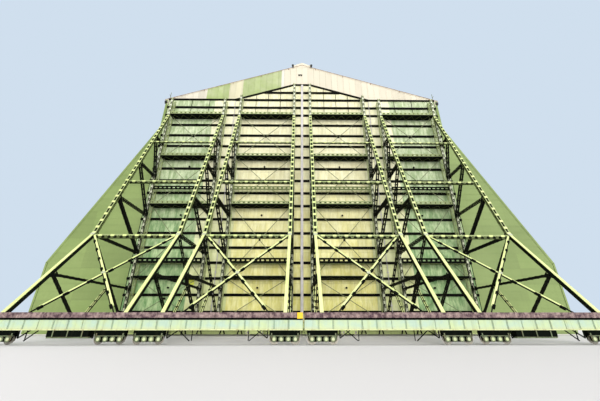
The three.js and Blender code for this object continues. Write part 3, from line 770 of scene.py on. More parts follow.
def add_seams(props):
    """Standing seams over the roof, and ribs on the sloping sides and the upper walls."""
    seams, ribs = Build(), Build()
    count = round((REAR_Y - GABLE_Y) / props.seam_pitch)
    slope = [(x, roof_top(x)) for x in (2.0, 28.85)]
    foot = (side_reach(LOW_TOP + 0.3), LOW_TOP + 0.3)
    shoulder = (SHOULDER[0] + 0.02, SHOULDER[1] - 0.05)
    for i in range(1, count):
        y = GABLE_Y + i * (REAR_Y - GABLE_Y) / count
        for side in SIDES:
            fin(seams, side, y, slope, (ROOF_FALL, 1), 0.09)
            fin(ribs, side, y, (foot, shoulder), (1, SIDE_LEAN), 0.08)
            wall = side * SHOULDER[0]
            ribs.box(wall, wall + side * 0.08, y - 0.04, y + 0.04, SHOULDER[1] + 0.05, 44.7, 1)
    seams.make("roof_seams", "shed", ["roof seam"], "roof")
    ribs.make("side_ribs", "shed", ["roof seam", "side green"], "roof")


def add_gutters():
    """Gutters along the eaves and the low walls, and downpipes on the upper walls."""
    build = Build()
    for side in SIDES:
        for x, low, top in ((SHOULDER[0], 44.25, 44.55), (41.55, 10.73, 10.95)):
            build.box(side * x, side * (x + 0.34), GABLE_Y + 0.02, REAR_Y - 0.02, low, top)
        for i in range(WINDOW_BAYS + 1):
            y = GABLE_Y + 0.9 + i * (REAR_Y - GABLE_Y - 1.8) / WINDOW_BAYS
            build.tube((side * 28.72, y, 38.2), (side * 28.72, y, 44.4), 0.09)
    build.make("gutters", "shed", ["frame dark"], "side")


def add_windows(props):
    """Frames and glazing bars in the low side walls' window bands, and sills under them."""
    build = Build()
    for side in SIDES:
        wall = side * (HALF_WIDTH - 0.3), side * (HALF_WIDTH - 0.04)
        outer = side * (HALF_WIDTH - 0.14), side * (HALF_WIDTH - 0.02)
        for middle in BAY_MIDDLES:
            y0, y1 = middle - WINDOW_HALF, middle + WINDOW_HALF
            for sill in WINDOW_SILLS:
                top, half = sill + WINDOW_HEIGHT, sill + WINDOW_HEIGHT / 2
                for z0, z1 in ((sill, sill + 0.1), (top - 0.1, top), (half - 0.03, half + 0.03)):
                    build.box(*wall, y0, y1, z0, z1)
                for j in range(props.window_bars + 1):
                    y = y0 + 0.05 + j * (y1 - y0 - 0.1) / props.window_bars
                    build.box(*wall, y - 0.04, y + 0.04, sill + 0.1, top - 0.1)
                build.box(*outer, y0 - 0.1, y1 + 0.1, sill - 0.1, sill, 1)
    build.make("window_frames", "shed", ["trim cream", "hall steel"], "side")


def lap_strip(build, side, line, share, y0, y1, lift, thick, mark=0):
    """A strip along the building on a slope: line gives two (x, z) points from its upper one down, and the
    strip takes up a share of it, lifted off it."""
    (xa, za), (xb, zb) = line
    lean = Vector((side * (za - zb), 0, xb - xa)).normalized()
    ring = []
    for part, rise in ((0.0, lift), (share, lift), (share, lift + thick), (0.0, lift + thick)):
        x, z = xa + (xb - xa) * part, za + (zb - za) * part
        ring.append(Vector((side * x, y0, z)) + lean * rise)
    build.prism(ring, (0, y1 - y0, 0), mark)


def add_roof_lines():
    """Lap strips over the roof and the sloping sides, and a boarded walk on bearers beside the ridge."""
    build = Build()
    y0, y1 = GABLE_Y + 0.05, REAR_Y - 0.05
    roof = [[(x, roof_top(x)) for x in (start, start + 1.0)] for start in ROOF_LAPS]
    slopes = [[(side_reach(z), z) for z in (start, start - 1.0)] for start in SIDE_LAPS]
    walk = [(x, roof_top(x)) for x in (2.9, 3.9)]
    run = y1 - y0 - 5.0
    bearers = round(run / 4.0)
    for side in SIDES:
        for line in roof + slopes:
            lap_strip(build, side, line, LAP, y0, y1, 0.0, 0.12)
        lap_strip(build, side, walk, 0.7, y0 + 2.0, y1 - 2.0, 0.16, 0.05, 1)
        for i in range(bearers + 1):
            y = y0 + 2.4 + i * run / bearers
            lap_strip(build, side, walk, 0.7, y, y + 0.12, 0.0, 0.16, 1)
    build.make("roof_laps_and_walks", "shed", ["roof seam", "hall steel"], "roof")


def add_upper_windows(props):
    """A framed window in every bay of the upper walls, and a sill under it."""
    build = Build()
    low, high, half = UPPER_WINDOW
    mid = (low + high) / 2
    for side in SIDES:
        wall = side * SHOULDER[0]
        outer = wall + side * 0.15
        for middle in BAY_MIDDLES:
            y0, y1 = middle - half, middle + half
            build.box(wall, wall + side * 0.1, y0, y1, low, high, 1)
            for z0, z1 in ((low, low + 0.12), (high - 0.12, high), (mid - 0.04, mid + 0.04)):
                build.box(wall, outer, y0, y1, z0, z1)
            for j in range(props.window_bars + 1):
                y = y0 + 0.06 + j * (y1 - y0 - 0.12) / props.window_bars
                build.box(wall, outer, y - 0.05, y + 0.05, low, high)
            build.box(wall, wall + side * 0.2, y0 - 0.15, y1 + 0.15, low - 0.12, low)
    build.make("upper_windows", "shed", ["trim cream", "old glazing"], "side")


def rear_top(x):
    """The height to which the rear gable is sheeted at a distance x from the middle."""
    if x <= REAR_STEP:
        return roof_top(x) - 0.5
    return LOW_TOP + (REAR_REACH - x) / SIDE_LEAN


def add_rear_sheets(build, side):
    """Upright sheets between the rear gable's level rails, cut to its outline, the rails and verge boards."""
    back = REAR_Y + 0.005
    columns = [i * REAR_STEP / 12 for i in range(13)]
    columns += [REAR_STEP + i * (REAR_REACH - REAR_STEP) / 6 for i in range(1, 7)]
    for i, (x0, x1) in enumerate(pairwise(columns)):
        for j, (z0, z1) in enumerate(pairwise([0.25, *REAR_RAILS, RIDGE_Z])):
            low, top = z0 + (0.27 if j else 0.0), z1 - 0.02
            a, b = x0 + 0.02, x1 - 0.02
            inner, outer = rear_top(a), rear_top(b)
            if inner < low + 0.3:
                continue
            if outer < low + 0.05:
                b = a + (b - a) * (inner - low - 0.05) / (inner - outer)
                outer = low + 0.05
            outline = [(a, low), (b, low), (b, min(top, outer)), (a, min(top, inner))]
            build.plate([(side * x, z) for x, z in outline], back, 0.035 + 0.015 * ((i + j) % 2), SHEET)
    for z in REAR_RAILS:
        reach = REAR_REACH - SIDE_LEAN * max(0.0, z - LOW_TOP) if z < SHOULDER[1] else REAR_STEP
        build.box(0.0, side * (reach - 0.1), REAR_Y + 0.02, REAR_Y + 0.195, z - 0.04, z + 0.02, FRAME)
    build.plate(verge(side, 0.0, 0.12), back, 0.15, VERGE)
    build.plate(verge(side, 0.12, 0.4), back, 0.11, TRIM)


def add_rear_fittings(build, side, props):
    """Windows, a double door and a ladder on one half of the rear gable."""
    near, back, proud = REAR_Y + 0.03, REAR_Y + 0.04, REAR_Y + 0.14
    for start in (4.5, 12.1, 19.7):
        x0, x1 = sorted((side * start, side * (start + 6.4)))
        build.box(x0, x1, back, REAR_Y + 0.09, 8.2, 10.2, GLASS)
        for z in (8.2, 9.16, 10.1):
            build.box(x0, x1, back, proud, z, z + 0.1, TRIM)
        for k in range(props.window_bars + 1):
            bar = x0 + k * (x1 - x0 - 0.1) / props.window_bars
            build.box(bar, bar + 0.1, back, proud, 8.2, 10.2, TRIM)
    x0, x1 = sorted((side * 12.0, side * 16.4))
    build.box(x0, x1, near, REAR_Y + 0.1, 0.2, 3.75, DOOR)
    for k in range(5):
        bar = x0 + k * (x1 - x0 - 0.14) / 4
        build.box(bar, bar + 0.14, near, proud, 0.2, 3.75, TRIM if k in (0, 4) else FRAME)
    build.box(x0, x1, near, proud, 3.6, 3.75, TRIM)
    for x, top in ((21.85, 46.4), (22.4, 46.2)):
        build.box(side * x, side * (x + 0.08), REAR_Y + 0.06, REAR_Y + 0.19, 0.4, top, FRAME)
    for k in range(100):
        z = 0.7 + k * 0.45
        build.box(side * 21.93, side * 22.4, REAR_Y + 0.1, REAR_Y + 0.15, z, z + 0.05, FRAME)


def add_rear_gable(props):
    """The rear end: sheets, rails and boards, windows, doors and ladders, and a louvre near the ridge."""
    build = Build()
    for side in SIDES:
        add_rear_sheets(build, side)
        add_rear_fittings(build, side, props)
    for k in range(9):
        z = 47.2 + k * 0.36
        build.box(-3.2, 3.2, REAR_Y + 0.04, REAR_Y + 0.16, z, z + 0.2, FRAME)
    for x in (-3.35, 3.2):
        build.box(x, x + 0.15, REAR_Y + 0.04, REAR_Y + 0.18, 47.0, 50.4, TRIM)
    build.make("rear_gable_front", "shed", REAR_FINISHES, "wall")


def add_hall_frames(props):
    """Lattice cross frames inside: columns with lacing and roof trusses, and the purlins along the roof."""
    build = Build()
    level = (0, 1, 0)
    for i in range(1, props.frame_count):
        y = GABLE_Y + i * (REAR_Y - GABLE_Y) / props.frame_count
        for side in SIDES:

            def under(x, drop):
                return (side * x, y, roof_top(x) - 0.5 - drop)

            for x in HALL_COLUMN:
                build.bar((side * x, y, 0.2), (side * x, y, 43.2), 0.16, 0.4)
            for j in range(18):
                a, b = HALL_COLUMN if j % 2 else HALL_COLUMN[::-1]
                z = 0.4 + j * 2.35
                build.bar((side * a, y, z), (side * b, y, z + 2.35), 0.1, 0.1, level)
            bend, heel = under(17.0, 2.8), (side * 26.6, y, 40.2)
            for a, b in ((under(0.0, 1.6), under(26.5, 1.6)), (under(0.2, 4.4), bend), (bend, heel)):
                build.bar(a, b, 0.3, 0.18, level)
            drops = [1.6 if k % 2 else 4.4 - 1.6 * min(1.0, 2.2 * k / 17.0) for k in range(9)]
            for a, b in pairwise([under(2.2 * k, drop) for k, drop in enumerate(drops)]):
                build.bar(a, b, 0.12, 0.12, level)
    build.make("hall_frames", "shed", ["hall steel"], "interior")
    purlins = Build()
    for side in SIDES:
        for x in (4.0, 8.0, 12.0, 16.0, 20.0, 24.0):
            z = roof_top(x) - 2.05
            purlins.bar((side * x, GABLE_Y + 0.6, z), (side * x, REAR_Y - 0.6, z), 0.16, 0.12)
    purlins.make("hall_purlins", "shed", ["hall steel"], "interior")


def add_side_doors():
    """Dark doors in pale frames between the windows of the low walls."""
    build = Build()
    for side in SIDES:
        jamb = side * (HALF_WIDTH - 0.2), side * HALF_WIDTH
        for i in SIDE_DOORS:
            y = GABLE_Y + i * BAY
            build.box(*jamb, y - 0.65, y - 0.5, 0.16, 2.5, 1)
            build.box(*jamb, y + 0.5, y + 0.65, 0.16, 2.5, 1)
            build.box(*jamb, y - 0.65, y + 0.65, 2.35, 2.5, 1)
            build.box(side * (HALF_WIDTH - 0.12), side * (HALF_WIDTH - 0.02), y - 0.5, y + 0.5, 0.16, 2.35)
    build.make("side_doors", "shed", ["girt dark and shade", "trim cream"], "side")


# The door leaves


def add_leaf_sheets(body, sign, edges):
    """Sheets of the leaf between its level rails, in bays of three paints, the panel that carries them and
    the strip that closes the gap to the gable."""
    build = Build(sign)
    cream, green, pale, rubber, panel = range(5)
    inner, outer = LEAF_INNER + 0.02, LEAF_OUTER - 0.02
    for i, (x0, x1) in enumerate(pairwise(SHEET_EDGES)):
        paint = cream if x0 < 11 else pale if x0 < 17.9 else green
        x0, x1 = x0 + 0.012, x1 - 0.012
        for j, (z0, z1) in enumerate(pairwise(edges)):
            build.box(x0, x1, -0.012 * ((i + j) % 2), 0.1, z0 + 0.02, z1 - 0.02, paint)
        for z0, z1 in ((44.4, 46.4), (46.4, 48.6)):
            tops = [min(z1 - 0.02, leaf_top(x) - 0.1) for x in (x0, x1)]
            if max(tops) > z0 + 0.1:
                near, far = (max(top, z0 + 0.03) for top in tops)
                build.plate([(x0, z0 + 0.02), (x1, z0 + 0.02), (x1, far), (x0, near)], 0, 0.1, paint)
    build.box(inner, outer, 0.1, SKIN - 0.01, LEAF_FOOT, LEAF_EAVE - 0.02, panel)
    crown = [(inner, 44.4), (PEAK_FOOT - 0.3, 44.4), (PEAK_HALF, LEAF_PEAK - 0.03), (inner, LEAF_PEAK - 0.03)]
    build.plate(crown, 0.1, SKIN - 0.11, panel)
    build.box(26.5, 26.9, SKIN, GABLE_Y - 0.02, 1.8, 43.5, rubber)
    finishes = ("door sheet cream", "door sheet green", "door sheet pale", "rubber black", "lattice green")
    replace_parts(build.make(f"{body}_sheets", body, finishes, "cladding"), f"{body}_cladding")


def add_leaf_rails(body, sign, girts, edges):
    """The level rails as channels, the leaf's upper edge, a pipe between the bays and rods below the edge. The
    rails and the upper edge are near-black: painted shade for the shadow under and behind them.
    """
    build = Build(sign)
    dark, pipe, rod = range(3)
    front = -0.25
    # Each rail is near-black: painted shade for the shadow under and behind it
    for z in girts:
        reach = LEAF_OUTER
        if z > LEAF_EAVE - 0.3:
            rise = (z - LEAF_EAVE) / (LEAF_PEAK - LEAF_EAVE)
            reach = PEAK_FOOT - rise * (PEAK_FOOT - PEAK_HALF) - 0.4
        for back, low, high in ((0.0, 0.05, 0.1), (-0.2, -0.24, 0.05), (0.0, -0.29, -0.24)):
            build.box(LEAF_INNER, reach, front, back, z + low, z + high, dark)
    crest = [(LEAF_OUTER, LEAF_EAVE), (PEAK_FOOT, LEAF_EAVE), (PEAK_HALF, LEAF_PEAK), (LEAF_INNER, LEAF_PEAK)]
    for (x0, z0), (x1, z1) in pairwise(crest):
        build.plate([(x0, z0), (x1, z1), (x1, z1 - 0.3), (x0, z0 - 0.3)], front, 0.34, dark)
    build.tube((DOWNPIPE_X, -0.2, 1.9), (DOWNPIPE_X, -0.2, 43.9), 0.06, 8, pipe)
    for z in girts[:LEAF_RAILS:2]:
        build.post(DOWNPIPE_X, 0.13, front, -0.1, z + 0.8, z + 0.95, pipe)
    for x in (4.5, 7.0, 9.5, 19.1, 22.7):
        build.tube((x, -0.13, 39.5), (x, -0.13, leaf_top(x) - 0.1), 0.045, 8, rod)
    for z0, z1 in pairwise(edges):
        build.box(LEAF_OUTER - 0.09, LEAF_OUTER - 0.01, -0.06, 0.0, z0 + 0.15, z1 - 0.15, rod)
    build.make(f"{body}_rails", body, ["girt dark and shade", "cover strip", "web dark green and shade"], "steelwork")


def add_cover_strip():
    """The ribbed strip over the joint between the leaves, carried by the right one."""
    build = Build()
    low, top = 1.9, 48.3
    build.post(0.0, 0.22, -0.34, -0.3, low, top)
    for x in (-0.195, 0.195):
        build.post(x, 0.025, -0.3, -0.255, low, top)
    for i in range(48):
        z = 2.3 + i * 0.97
        build.post(0.0, 0.2, -0.37, -0.34, z, z + 0.12)
    cover = build.make("door_right_cover_strip_ribbed", "door_right", ["cover strip"], "cladding", bevel=0.01)
    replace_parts(cover, "door_right_cover_strip")


def add_leaf_skin(body, sign, props):
    """The clad wall of a leaf: its sheets and its rails."""
    girts = [3.3 + i * props.rail_pitch for i in range(LEAF_RAILS)] + UPPER_RAILS
    edges = [LEAF_FOOT, *(z for z in girts if z < LEAF_EAVE - 0.5), LEAF_EAVE]
    add_leaf_sheets(body, sign, edges)
    add_leaf_rails(body, sign, girts, edges)


def add_raker(build, x, props):
    """The raking chord: a plated box from the front girder to the knee, battened from there to the head."""
    foot, knee = (Vector((0, *NODE[key])) for key in ("foot", "knee"))
    along = (knee - foot).normalized()
    across = Vector((0, -along.z, along.y))

    def edge(offset, past):
        """The ends of a line beside the chord's middle, from the girder's top to a little past the knee."""
        start = foot + across * offset
        low = start + along * ((RAKER_STAND - start.z) / along.z)
        high = knee + across * offset + along * past
        return [(low.y, low.z), (high.y, high.z)]

    # The plated box is near-black, painted shade for its shaded sides, with a pale strip along its front edge
    build.slab(edge(-0.22, 0.1) + edge(0.2, 0.1)[::-1], x, 0.15, WEB_SHADE)
    build.slab(edge(0.2, 0.12) + edge(0.245, 0.12)[::-1], x, 0.165, PALE)
    # The battened chord is painted light and shade: angles lit green, side plates shaded olive, web near-black
    options = dict(leg=0.11, pitch=props.batten_pitch, batten=props.batten_pitch * 0.3)
    ends = (x, *NODE["knee"]), (x, *NODE["head"])
    build.laced(*ends, 0.48, 0.4, marks=(LIT_GREEN, SHADED_OLIVE, SHADE, PALE), **options)
    low, high = (knee + across * 0.26 + along * shift for shift in (-0.34, 0.42))
    build.bar((x, low.y, low.z), (x, high.y, high.z), 0.5, 0.03, mark=PLATE)
    # The heel behind the girder, down to the base chord
    rear = GIRDER_REAR + 0.01
    build.slab([(rear, 1.76), (-18.2, 1.76), (-18.2, 2.3), (rear, 2.46)], x, 0.05, WEB_SHADE)
    build.post(x, 0.3, rear, -18.5, 2.25, 2.33, WEB_SHADE)


def add_column(build, x, top, props):
    """The lattice column: two chords of four angles each, tie plates and zigzag lacing in front of them, and
    zigzag lacing on both sides. The outer chord's dark angles and the near-black plate between them are
    painted shade inside the lattice; the angles and tie plates get lighter towards the top."""
    rise = Vector((0, 0, top - COLUMN_FOOT))
    for y, leg, paint in ((COLUMN_INNER_Y, 0.07, LATTICE), (COLUMN_OUTER_Y, 0.1, ANGLE)):
        for i, j in CORNERS:
            corner = Vector((x + i * 0.22, y + j * 0.15, COLUMN_FOOT))
            build.angle(corner, corner + rise, Vector((-i, 0, 0)), Vector((0, -j, 0)), leg, 0.03, paint)
        build.post(x, 0.22, y - 0.15, y + 0.15, top - 0.12, top, LATTICE)
    build.post(x, 0.1, COLUMN_OUTER_Y - 0.02, COLUMN_OUTER_Y + 0.02, COLUMN_FOOT, top, SHADE)
    count = round(rise.z / props.column_panel)
    step = rise.z / count
    depth = (COLUMN_INNER_Y, COLUMN_OUTER_Y)
    for i in range(count):
        z = COLUMN_FOOT + i * step
        build.post(x, 0.15, COLUMN_OUTER_Y - 0.165, COLUMN_OUTER_Y - 0.145, z, z + step * 0.42, PLATE)
        lean = 0.15 if i % 2 else -0.15
        for y, mark in ((COLUMN_OUTER_Y - 0.155, PLATE), (COLUMN_INNER_Y - 0.155, LATTICE)):
            build.bar((x - lean, y, z + step * 0.2), (x + lean, y, z + step), 0.055, 0.02, mark=mark)
        for j in SIDES:
            y0, y1 = depth if (i + (j > 0)) % 2 else depth[::-1]
            build.bar((x + j * 0.225, y0, z), (x + j * 0.225, y1, z + step), 0.07, 0.03, (0, 1, 0), PLATE)


def add_webs(build, x):
    """The webs from the chord to the column, gussets at both their ends, and the chord at the foot. The webs,
    but for the sill strut's pale faces, and the gussets are near-black: painted shade; so are the foot
    chord's sides.
    """
    for (start, end), size in WEBS.items():
        options = dict(leg=size * 0.27, pitch=0.9, batten=0.16, web=False)
        face = PALE if start == "sillStrut" else WEB_SHADE
        ends = (x, *NODE[start]), (x, *NODE[end])
        build.laced(*ends, size, size * 0.65, marks=(face, WEB_SHADE, SHADE, WEB_SHADE), **options)
    for j in SIDES:
        for key, half in GUSSETS.items():
            y, z = NODE[key]
            shape = ((-0.3, -0.7), (0.75, -0.45), (0.75, 0.3), (0.25, 0.7))
            build.slab([(y + half * a, z + half * b) for a, b in shape], x + j * 0.2375, 0.0125, WEB_SHADE)
        for y, z in (NODE[key] for key in NODE if key.endswith("Column")):
            shape = ((-0.6, -0.15), (0.1, -0.4), (0.1, 0.5), (-0.6, 0.3))
            build.slab([(y + a, z + b) for a, b in shape], x + j * 0.26, 0.01, WEB_SHADE)
    base = (x, GIRDER_REAR + 0.01, 2.0), (x, COLUMN_INNER_Y, 2.0)
    build.laced(*base, 0.4, 0.5, leg=0.12, marks=(PALE, WEB_SHADE, SHADE, PALE))


def add_boom(build, x0, x1, y, z, half, props):
    """A level boom of four angles: close lacing and tie plates in front, and an open underside. Painted light
    and shade: the upper angles and the lacing are in the lit green, the lower angles and the middle bar in
    the shaded olive, the underside's lacing and a plate on the lower half of every other panel near-black,
    and a pale plate on the upper half of every fourth panel as a painted highlight.
    """
    run = Vector((x1 - x0, 0, 0))
    for j, k in CORNERS:
        corner = Vector((x0, y + j * half, z + k * half))
        legs = Vector((0, -j, 0)), Vector((0, 0, -k))
        build.angle(corner, corner + run, *legs, half * 0.6, 0.03, LIT_GREEN if k > 0 else SHADED_OLIVE)
    count = max(2, round(abs(x1 - x0) / props.boom_pitch))
    step = (x1 - x0) / count
    front, under = y - half, z - half
    for i in range(count):
        a, b = x0 + i * step, x0 + (i + 1) * step
        way = 1 if i % 2 else -1
        rise, sway = way * (half - 0.04), way * (half - 0.05)
        for j in SIDES:
            face = y + j * (half - 0.02)
            build.bar((a, face, z - rise), (b, face, z + rise), 0.075, 0.02, (0, 0, 1), LIT_GREEN)
        build.bar((a, y - sway, under + 0.01), (b, y + sway, under + 0.01), 0.07, 0.02, (0, 1, 0), SHADE)
        if i % 2:
            build.post(a, 0.2, front - 0.02, front, under, z - 0.02, SHADE)
        if i % 4 == 2:
            build.post(a, 0.24, front - 0.025, front, z - 0.02, z + half, PALE)
    build.bar((x0, y, z), (x1, y, z), half * 1.3, 0.03, (0, 0, 1), SHADED_OLIVE)


def add_brace(build, a, b, face):
    """A crossed brace: a pale angle over a near-black one, painted shade for its shaded side, dark collars
    along it and a thin rod at its foot.
    """
    along = (b - a).normalized()
    wide = face.cross(along).normalized()
    if wide.z < 0:
        wide = -wide
    length = (b - a).length
    neck = a + along * (length * BRACE_COLLARS[-1])
    upper, lower = wide * 0.06, wide * -0.09
    build.bar(a + upper, neck + upper, 0.2, 0.12, wide, PALE)
    build.bar(a + lower, neck + lower, 0.1, 0.1, wide, WEB_SHADE)
    build.bar(neck - along * 0.2, b, 0.1, 0.1, wide, WEB_SHADE)
    for share in BRACE_COLLARS:
        middle = a + along * (length * share) - wide * 0.07
        build.bar(middle - along * 0.24, middle + along * 0.24, 0.26, 0.17, wide, SHADE)


def add_bay(build, start, end, props):
    """Level booms between two trusses, the crossed braces in the plane of their plated chords, and the plate
    where the braces cross."""
    way = 1 if end > start else -1
    stop = end - way * 0.23
    for y, z, half in BOOMS:
        add_boom(build, start + way * 0.2, stop, y, z, half, props)
    up, down = NODE["knee"], (GIRDER_REAR + 0.15, 2.35)
    first = Vector((start, *up)), Vector((end - way * BRACE_SET_IN, *down))
    second = Vector((stop, *up)), Vector((start + way * BRACE_SET_IN, *down))
    level = Vector((1, 0, 0))
    slope = Vector((0, up[0] - down[0], up[1] - down[1])).normalized()
    face = level.cross(slope).normalized()
    for (a, b), lift in ((first, 0.07), (second, -0.07)):
        add_brace(build, a + face * lift, b + face * lift, face)
        build.post(b.x, 0.2, GIRDER_REAR + 0.01, GIRDER_REAR + 0.3, 2.05, 2.3, WEB_SHADE)
    spread = abs(stop - start) / (abs(stop - start) + abs(first[1].x - second[1].x))
    middle = first[0].lerp(first[1], spread) - face * 0.15
    turns = [math.pi / 4 * (i + 0.5) for i in range(8)]
    ring = [middle + level * (0.22 * math.cos(turn)) + slope * (0.18 * math.sin(turn)) for turn in turns]
    build.prism(ring, face * 0.3, PLATE)


def add_trusses(body, sign, props):
    """The raking trusses with their lattice columns, and the booms and crossed braces of the braced bays."""
    for index, (x, top) in enumerate(zip(TRUSS_X, TRUSS_TOP)):
        build = Build(sign)
        add_raker(build, x, props)
        add_column(build, x, top, props)
        add_webs(build, x)
        for _, start, end in BRACED_BAYS:
            if start == index:
                add_bay(build, x, TRUSS_X[end], props)
        piece = build.make(f"{body}_lattice_truss_{index + 1}", body, TRUSS_FINISHES, "steelwork")
        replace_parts(piece, f"{body}_truss_{index + 1}")


def add_wind_girder(build, x0, x1, z, props):
    """One wind girder: its underside, chords and lacing, and on the high ones a pale laced front. Painted
    light
    and shade: the underside, the front strip and the back chord are near-black, the lacing under it shaded
    olive, the laced front lit green.
    """
    front, back = WIND_Y
    build.box(x0, x1, front, back, z - 0.12, z - 0.07, WIND_SHADE)
    build.box(x0, x1, front, front + 0.05, z - 0.15, z + 0.17, WIND_SHADE)
    build.box(x0, x1, back - 0.16, back, z - 0.15, z + 0.15, WIND_SHADE)
    laced = z > LOW_TOP
    if laced:
        build.box(x0, x1, front, front + 0.03, z + 0.17, z + 0.27, WIND_LIT_GREEN)
        build.box(x0, x1, front, front + 0.03, z + 0.56, z + 0.67, WIND_LIT_GREEN)
    count = round((x1 - x0) / props.wind_pitch)
    step = (x1 - x0) / count
    under, face = z - 0.14, front + 0.02
    depth, tall = (front + 0.1, back - 0.1), (z + 0.25, z + 0.58)
    for i in range(count):
        a, b = x0 + i * step, x0 + (i + 1) * step
        y0, y1 = depth if i % 2 else depth[::-1]
        build.bar((a, y0, under), (b, y1, under), 0.04, 0.03, (0, 0, 1), WIND_SHADED_OLIVE)
        if laced:
            low, high = tall if i % 2 else tall[::-1]
            build.bar((a, face, low), (b, face, high), 0.1, 0.03, (0, 0, 1), WIND_LIT_GREEN)
            middle = (a + b) / 2
            build.post(middle, 0.24, front + 0.005, front + 0.025, *tall, WIND_LIT_GREEN)
            build.post(middle, 0.09, front - 0.01, front + 0.005, z + 0.3, z + 0.5, WIND_SHADE)


def add_walk(build, x0, x1, z, bands, paint):
    """An inspection walk: two level bands with posts between them, and slats on bearers behind. The bands and
    posts are painted shade; the slats and bearers are in the lit green.
    """
    front, back = WIND_Y
    bottom, low, high, top = (z + band for band in bands)
    build.box(x0, x1, front - 0.03, front + 0.04, bottom, low, paint)
    build.box(x0, x1, front - 0.03, front + 0.04, high, top, paint)
    posts = round((x1 - x0) / 0.76)
    for i in range(posts + 1):
        x = x0 + 0.1 + i * (x1 - x0 - 0.2) / posts
        build.post(x, 0.17, front - 0.02, front + 0.03, low - 0.02, high + 0.02, paint)
        build.bar((x, front + 0.04, bottom + 0.04), (x, back, bottom + 0.04), 0.05, 0.06, mark=WIND_LIT_GREEN)
    for slat in range(4):
        y = front + 0.25 + slat * 0.26
        build.box(x0, x1, y, y + 0.05, bottom + 0.07, bottom + 0.1, WIND_LIT_GREEN)


def add_wind_frames(body, sign, props):
    """Wind girders and inspection walks across the braced bays, with crossed tie rods between them."""
    y = sum(WIND_Y) / 2
    for bay, start, end in BRACED_BAYS:
        x0, x1 = sorted((TRUSS_X[start], TRUSS_X[end]))
        x0, x1 = x0 + 0.25, x1 - 0.25
        middle = (x0 + x1) / 2
        build = Build(sign)
        for z in WIND_LEVELS:
            add_wind_girder(build, x0, x1, z, props)
        for z, bands in zip(props.walk_levels, WALK_BANDS):
            # Painted shade for the walk bands: shaded olive in the inner bay high up, near-black elsewhere
            paint = WIND_SHADED_OLIVE if z > LOW_TOP + 1 and bay == "inner" else WIND_SHADE
            add_walk(build, x0, x1, z, bands, paint)
        for low, high in pairwise((1.95, *WIND_LEVELS)):
            for a, b, shift in ((x0 + 0.1, x1 - 0.1, 0.06), (x1 - 0.1, x0 + 0.1, -0.06)):
                build.tube((a, y + shift, low), (b, y + shift, high), 0.052, 6, WIND_ROD)
            z = (low + high) / 2
            build.tube((middle, y - 0.12, z), (middle, y + 0.12, z), 0.17, 10, WIND_SHADE)
            build.post(middle, 0.14, -0.45, -0.26, high - 1.6, high - 1.35, WIND_SHADE)
        build.box(x0, x1, y - 0.07, y + 0.07, LEAF_FOOT, 2.0, WIND_LATTICE)
        piece = build.make(f"{body}_wind_girders_{bay}", body, WIND_FINISHES, "steelwork")
        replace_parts(piece, f"{body}_wind_frame_{bay}")


def add_bogie(build, x, top):
    """One bogie: near-black side frames under a near-black headstock, painted shade under the girder, with a
    row of four round axle covers and their pins.
    """
    y, half = FRONT_WHEEL_Y, BOGIE_HALF
    build.post(x, half, y - 0.2, y + 0.2, 0.9, top, SHADE_AND_JOINTS)
    outline = [(x + i * (half - set_in), z) for i, set_in, z in BOGIE_OUTLINE]
    for j in SIDES:
        inner, outer, cover, pin = (y + j * out for out in (0.135, 0.2, 0.225, 0.24))
        build.plate(outline, inner, outer - inner, SHADE_AND_JOINTS)
        build.post(x, half, outer, cover, 0.66, 0.72, BOGIE)
        for k in range(4):
            axle = x + (k - 1.5) * WHEEL_BASE / 3
            build.tube((axle, outer, AXLE_Z), (axle, cover, AXLE_Z), 0.235, 16, BOGIE)
            build.tube((axle, cover, AXLE_Z), (axle, pin, AXLE_Z), 0.135, 12, MINT)
        for k in SIDES:
            build.post(x + k * (half - 0.18), 0.05, outer, cover, 0.32, 0.9, BOGIE)


def add_girder_body(build, props):
    """The long front girder: web plates with joint strips, an overhanging top and a rusted lower edge."""
    x0, x1 = LEAF_INNER, LEAF_OUTER
    face, lip = GIRDER_FRONT + 0.12, GIRDER_FRONT + 0.05
    low, neck, top = GIRDER_LEVELS
    count = round((x1 - x0) / props.plate_width)
    step = (x1 - x0) / count
    for i in range(count):
        a = x0 + i * step
        build.box(a + 0.02, a + step - 0.02, face, face + 0.05, low + 0.07, neck - 0.1, MINT)
        if i:
            build.box(a + 0.03, a + 0.09, face - 0.008, face, low + 0.09, neck - 0.12, MINT)
            if i % 3:
                build.box(a - 0.1, a - 0.05, face - 0.006, face, low + 0.09, neck - 0.12, JOINT)
    # The near-black boxes are painted shade: the underside and the shadow gap under the overhanging top
    for y0, y1, z0, z1, mark in (
        (face + 0.05, GIRDER_REAR - 0.06, low + 0.06, neck - 0.1, JOINT),
        (face - 0.018, face + 0.03, low, low + 0.07, RUSTED),
        (face + 0.03, GIRDER_REAR, low, low + 0.06, SHADE_AND_JOINTS),
        (GIRDER_REAR - 0.06, GIRDER_REAR, low + 0.06, top - 0.03, MINT),
        (face + 0.07, GIRDER_REAR - 0.06, neck - 0.1, neck + 0.08, SHADE_AND_JOINTS),
        (lip, lip + 0.06, neck + 0.06, top, MAUVE),
        (lip + 0.06, GIRDER_REAR, top - 0.06, top, MAUVE),
        (lip, face + 0.1, neck + 0.03, neck + 0.08, SHADE_AND_JOINTS),
    ):
        build.box(x0, x1, y0, y1, z0, z1, mark)
    # Dark joint lines on the top, in the same near-black
    joints = round((x1 - x0) / 2.6)
    for i in range(joints + 1):
        a = x0 + 0.2 + i * (x1 - x0 - 0.4) / joints
        build.post(a, 0.008, lip - 0.01, lip, neck + 0.1, top - 0.02, SHADE_AND_JOINTS)


